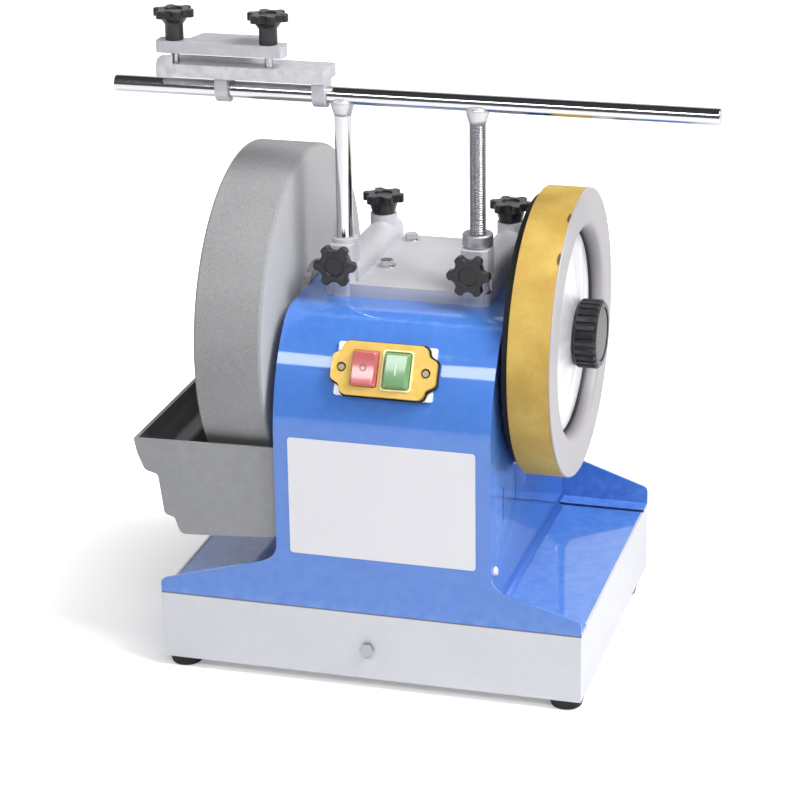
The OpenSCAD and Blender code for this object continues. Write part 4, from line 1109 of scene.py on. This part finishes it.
def threaded_leg():
    low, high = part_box("support_leg_right")
    middle = (low + high) / 2 / MM
    outer = mounts["support_sleeve_right"]["dims"]["r_mm"] - SLEEVE_PLAY
    leg = node_shape("support_leg_right")
    cut_along(leg, (0.0, 0.0, THREAD_END), (0.0, 0.0, 1.0), keep_front_only=True)
    bmesh.ops.holes_fill(leg, edges=[edge for edge in leg.edges if edge.is_boundary])
    start = low.z / MM
    length = THREAD_END - THREAD_GAP - start
    count = int(length / THREAD_PITCH * THREAD_ROWS)
    layers = []
    for i in range(count + 1):
        height = start + length * i / count
        turns = height / THREAD_PITCH
        outline = round_outline(
            THREAD_SIDES, lambda angle: thread_radius(outer, turns - angle / (2 * math.pi)), middle)
        layers.append((outline, height))
    return stack_layers(leg, layers)


leg = mesh_piece("threaded_leg", threaded_leg())
finish_piece(leg, "support", "threaded_steel")
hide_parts("support_leg_right")
dressed["support_leg_right"] = leg
print("thread points:", len(leg.data.vertices))

# %% [markdown]
# ## The weld beads
# Both legs are welded to the bar, and the weld was not ground off. It is a lumpy collar that widens
# towards the bar. Rings of points follow a short profile, and a smooth noise pushes each point in or out.

# %% Weld beads
WELD_PROFILE = ((-11.0, 6.1), (-8.5, 6.9), (-6.0, 7.6), (-3.5, 8.2), (-1.5, 8.4), (0.0, 7.9), (1.2, 6.2))
WELD_SIDES = 40
WELD_LUMPS = 0.45
WELD_GRAIN = 0.45


def weld_reach(middle, height, radius, angle):
    point = Vector((middle.x + radius * math.cos(angle), middle.y + radius * math.sin(angle), height))
    return radius + WELD_LUMPS * noise.noise(point * WELD_GRAIN)


def weld_bead(leg):
    low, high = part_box(leg)
    middle = (low + high) / 2 / MM
    layers = []
    for rise, radius in WELD_PROFILE:
        height = high.z / MM + rise
        outline = round_outline(
            WELD_SIDES, lambda angle: weld_reach(middle, height, radius, angle), middle)
        layers.append((outline, height))
    return stack_layers(bmesh.new(), layers)


for leg_node in ("support_leg_left", "support_leg_right"):
    bead = mesh_piece("weld_on_" + leg_node, weld_bead(leg_node))
    finish_piece(bead, "support", "weld_metal")
print("weld beads: 2 of", len(WELD_PROFILE), "rings")

# %% [markdown]
# ## The label plate
# A white film is stuck on the housing's front. It is left bare here. It is a thin plate with rounded
# corners, so its edge still catches a line of light.

# %% Label plate
LABEL_WIDTH = 137.0
LABEL_LOW = 102.0
LABEL_HIGH = 190.5
LABEL_T = 0.4
LABEL_CORNER = 2.5
LABEL_EDGE = 0.15
front_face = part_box("housing_shell")[0].y / MM
label_outline = rounded_rectangle(LABEL_WIDTH, LABEL_HIGH - LABEL_LOW, LABEL_CORNER)
label = mesh_piece("label_plate", plate_shape(label_outline, 0.0, LABEL_T))
label.matrix_world = tipped_up(Vector((0.0, front_face, (LABEL_LOW + LABEL_HIGH) / 2)) * MM)
round_edges(label, LABEL_EDGE)
finish_piece(label, "housing", "label_film")
print("label:", LABEL_WIDTH, "x", LABEL_HIGH - LABEL_LOW, "mm")

# %% [markdown]
# ## A strip of painted shade along the side panel
# A darker line runs along the foot of the right side panel, in the corner with the deck. It is painted
# shade: a strip of darker blue laid into the joint. Its outline is a hollow corner fillet, drawn as an arc
# and run along the deck.

# %% Bead of sealant
SHADE_STRIP_RADIUS = 4.5
SHADE_STRIP_STEPS = 8
SHADE_STRIP_FRONT = -105.0
SHADE_STRIP_BACK = 104.0


def shade_strip_outline(radius):
    arc = [math.radians(270 - 90 * i / SHADE_STRIP_STEPS) for i in range(SHADE_STRIP_STEPS + 1)]
    return [(0.0, 0.0)] + [(radius + radius * math.cos(a), radius + radius * math.sin(a)) for a in arc]


# The strip is painted shade in the corner between panel and deck.
bead = mesh_piece("panel_foot_shade_strip", plate_shape(shade_strip_outline(SHADE_STRIP_RADIUS), -SHADE_STRIP_BACK, -SHADE_STRIP_FRONT))
panel_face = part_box("side_panel_right")[1].x
bead.matrix_world = tipped_up((panel_face, 0.0, deck_top))
finish_piece(bead, "housing", "panel_foot_shade_paint")
print("shade strip from", SHADE_STRIP_FRONT, "to", SHADE_STRIP_BACK, "mm at x =", round(panel_face / MM, 1))

# %% [markdown]
# ## The push buttons
# Each button is a moulded cap that draws in towards its top, like the frustum of a pyramid, so that a
# finger finds its edge. Rounded rectangles of shrinking size are stacked and joined. Then the top is cut
# into strips and bent. The stop button is sunk into a shallow trough, whose lower half catches the window.
# The start button is slightly crowned and catches it near its top. The marks follow the bent tops.

# %% Place of the switch
SWITCH_ANGLE = math.radians(28.5)
SWITCH_PLACE = Vector((1.0, -109.67, 240.80))
BUTTON_PITCH = 23.5
BUTTONS_X = -1.7
switch_frame = tipped_up(SWITCH_PLACE * MM, math.radians(90) - SWITCH_ANGLE)


def button_frame(side):
    return switch_frame @ Matrix.Translation(Vector((BUTTONS_X + side * BUTTON_PITCH / 2, 0.0, 0.0)) * MM)


print("switch stands at", [round(v, 1) for v in SWITCH_PLACE], "mm")

# %% Buttons
BUTTON_SIZE = (19.0, 25.5)
BUTTON_CORNER = 1.8
BUTTON_EDGE = 0.35
BUTTON_EDGE_STEPS = 3
BUTTON_SHARP_DEGREES = 20.0
BUTTON_LAYERS = ((1.5, 0.0), (8.6, 0.0), (9.0, 0.5), (11.9, 3.0), (12.5, 4.0))
BUTTON_TOP, TOP_LESS = BUTTON_LAYERS[-1]
TOP_HALF = (BUTTON_SIZE[1] - TOP_LESS) / 2
TOP_BAND = 0.3
TROUGH_DEPTHS = {"stop_button": 0.6, "start_button": -0.25}
TROUGH_STRIPS = 10


def sink(vert, node):
    """Lowers a point on a button's top into the trough of that button."""
    share = max(0.0, 1.0 - (vert.co.y / MM / TOP_HALF) ** 2)
    vert.co.z -= TROUGH_DEPTHS[node] * share * MM


def button_shape(node):
    layers = [(rounded_rectangle(BUTTON_SIZE[0] - less, BUTTON_SIZE[1] - less, BUTTON_CORNER), height)
              for height, less in BUTTON_LAYERS]
    shape = stack_layers(bmesh.new(), layers)
    for i in range(1, TROUGH_STRIPS):
        cut_along(shape, (0.0, TOP_HALF * (2.0 * i / TROUGH_STRIPS - 1.0), 0.0), (0.0, 1.0, 0.0))
    for vert in shape.verts:
        if vert.co.z > (BUTTON_TOP - TOP_BAND) * MM:
            sink(vert, node)
    return shape


def push_button(node, side):
    button = mesh_piece("cap_" + node, button_shape(node))
    round_edges(button, BUTTON_EDGE, segments=BUTTON_EDGE_STEPS, limit=BUTTON_SHARP_DEGREES)
    button.matrix_world = button_frame(side)
    finish_piece(button, body_of_node[node], slot_of_node[node])
    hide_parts(node)
    return button


for node, side in (("stop_button", -1), ("start_button", 1)):
    dressed[node] = push_button(node, side)
print("button layers:", len(BUTTON_LAYERS))

# %% [markdown]
# ### The lip of the start button
# The start button sits lower than the other. Round it stands a pale cream lip, whose colour is a painted
# highlight on the lit edges round the button. The lip is a frame between two rounded rectangles, with room
# for the button to travel.

# %% Lip round the start button
LIP_OUTER = (22.4, 29.0)
LIP_INNER = (19.8, 26.3)
LIP_HEIGHTS = (7.0, 8.7)
LIP_CORNER = 2.2
LIP_EDGE = 0.5
lip_outlines = [rounded_rectangle(*size, LIP_CORNER) for size in (LIP_OUTER, LIP_INNER)]
lip = round_edges(mesh_piece("start_button_lip", frame_shape(*lip_outlines, *LIP_HEIGHTS)), LIP_EDGE)
lip.matrix_world = button_frame(1)
# The lip's pale colour is a painted highlight.
finish_piece(lip, "housing", "lip_painted_highlight")
print("lip faces:", len(lip.data.polygons))

# %% [markdown]
# ### The signs for off and on
# A thin ring stands for off and a thin bar for on. Two thirds of their thickness lie in the button, and
# they are bent with the button's top.

# %% Marks for off and on
MARK_HALF = 0.12
MARK_SINK = 0.04
RING_RADII = (2.5, 1.7)
RING_SIDES = 40
BAR_SIZE = (0.9, 8.0)
BAR_CORNER = 0.4


def place_mark(name, shape, body, side):
    for vert in shape.verts:
        sink(vert, body + "_button")
    mark = mesh_piece(name, shape, smooth=False)
    mark.matrix_world = button_frame(side)
    return finish_piece(mark, body, name + "_paint")


mark_low = BUTTON_TOP - MARK_SINK - MARK_HALF
mark_high = BUTTON_TOP - MARK_SINK + MARK_HALF
circles = [round_outline(RING_SIDES, lambda angle: radius) for radius in RING_RADII]
bar = rounded_rectangle(*BAR_SIZE, BAR_CORNER)
place_mark("off_mark", frame_shape(*circles, mark_low, mark_high), "stop", -1)
place_mark("on_mark", plate_shape(bar, mark_low, mark_high), "start", 1)
print("marks:", 2)

# %% [markdown]
# ## The hand knob's cap
# A grey disc is pressed into the end of the hand knob and hides its screw. It is turned from a short
# profile, slightly domed, and lies in the knob's dish.

# %% Turn the cap
CAP_RADIUS = 19.4
CAP_PROFILE = ((0.0, 0.95), (11.0, 0.85), (17.0, 0.6), (19.0, 0.35), (CAP_RADIUS, 0.0))
CAP_SIDES = 72
DISH_DEPTH = 1.0


def turned_shape(profile, x):
    """A disc turned about the spindle: pairs of radius and height over the plane at x."""
    shape = bmesh.new()
    centre = SPINDLE_HEIGHT / MM
    rings = []
    for radius, rise in profile[1:]:
        outline = round_outline(CAP_SIDES, lambda angle: radius, (centre, 0.0))
        rings.append([shape.verts.new(Vector((x + rise, y, z)) * MM) for z, y in outline])
    tip = shape.verts.new(Vector((x + profile[0][1], 0.0, centre)) * MM)
    for first, second in zip(rings[0], rings[0][1:] + rings[0][:1]):
        shape.faces.new((tip, second, first))
    shape.faces.new(rings[-1])
    return join_rings(shape, rings)


dish_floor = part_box("hand_knob")[1].x / MM - DISH_DEPTH
cap = mesh_piece("hand_knob_cap", turned_shape(CAP_PROFILE, dish_floor))
finish_piece(cap, "spindle", "cap_plastic")
print("cap:", 2 * CAP_RADIUS, "mm across")

# %% [markdown]
# ## Plain nodes
# The nodes that are hidden inside, or too small for an eased edge to show, keep their CAD mesh and take
# their finish directly. The screws of the switch sit deep in their holes and are dull; their darker,
# yellowish tone is painted shade and a painted reflection of the yellow cover.

# %% Finish the nodes that stay
for node, solid in frame["nodes"].items():
    if node not in dressed:
        solid.data.materials.clear()
        solid.data.materials.append(finishes[SPECIAL_FINISHES.get(node, slot_of_node[node])])
print("plain nodes:", len(frame["nodes"]) - len(dressed))
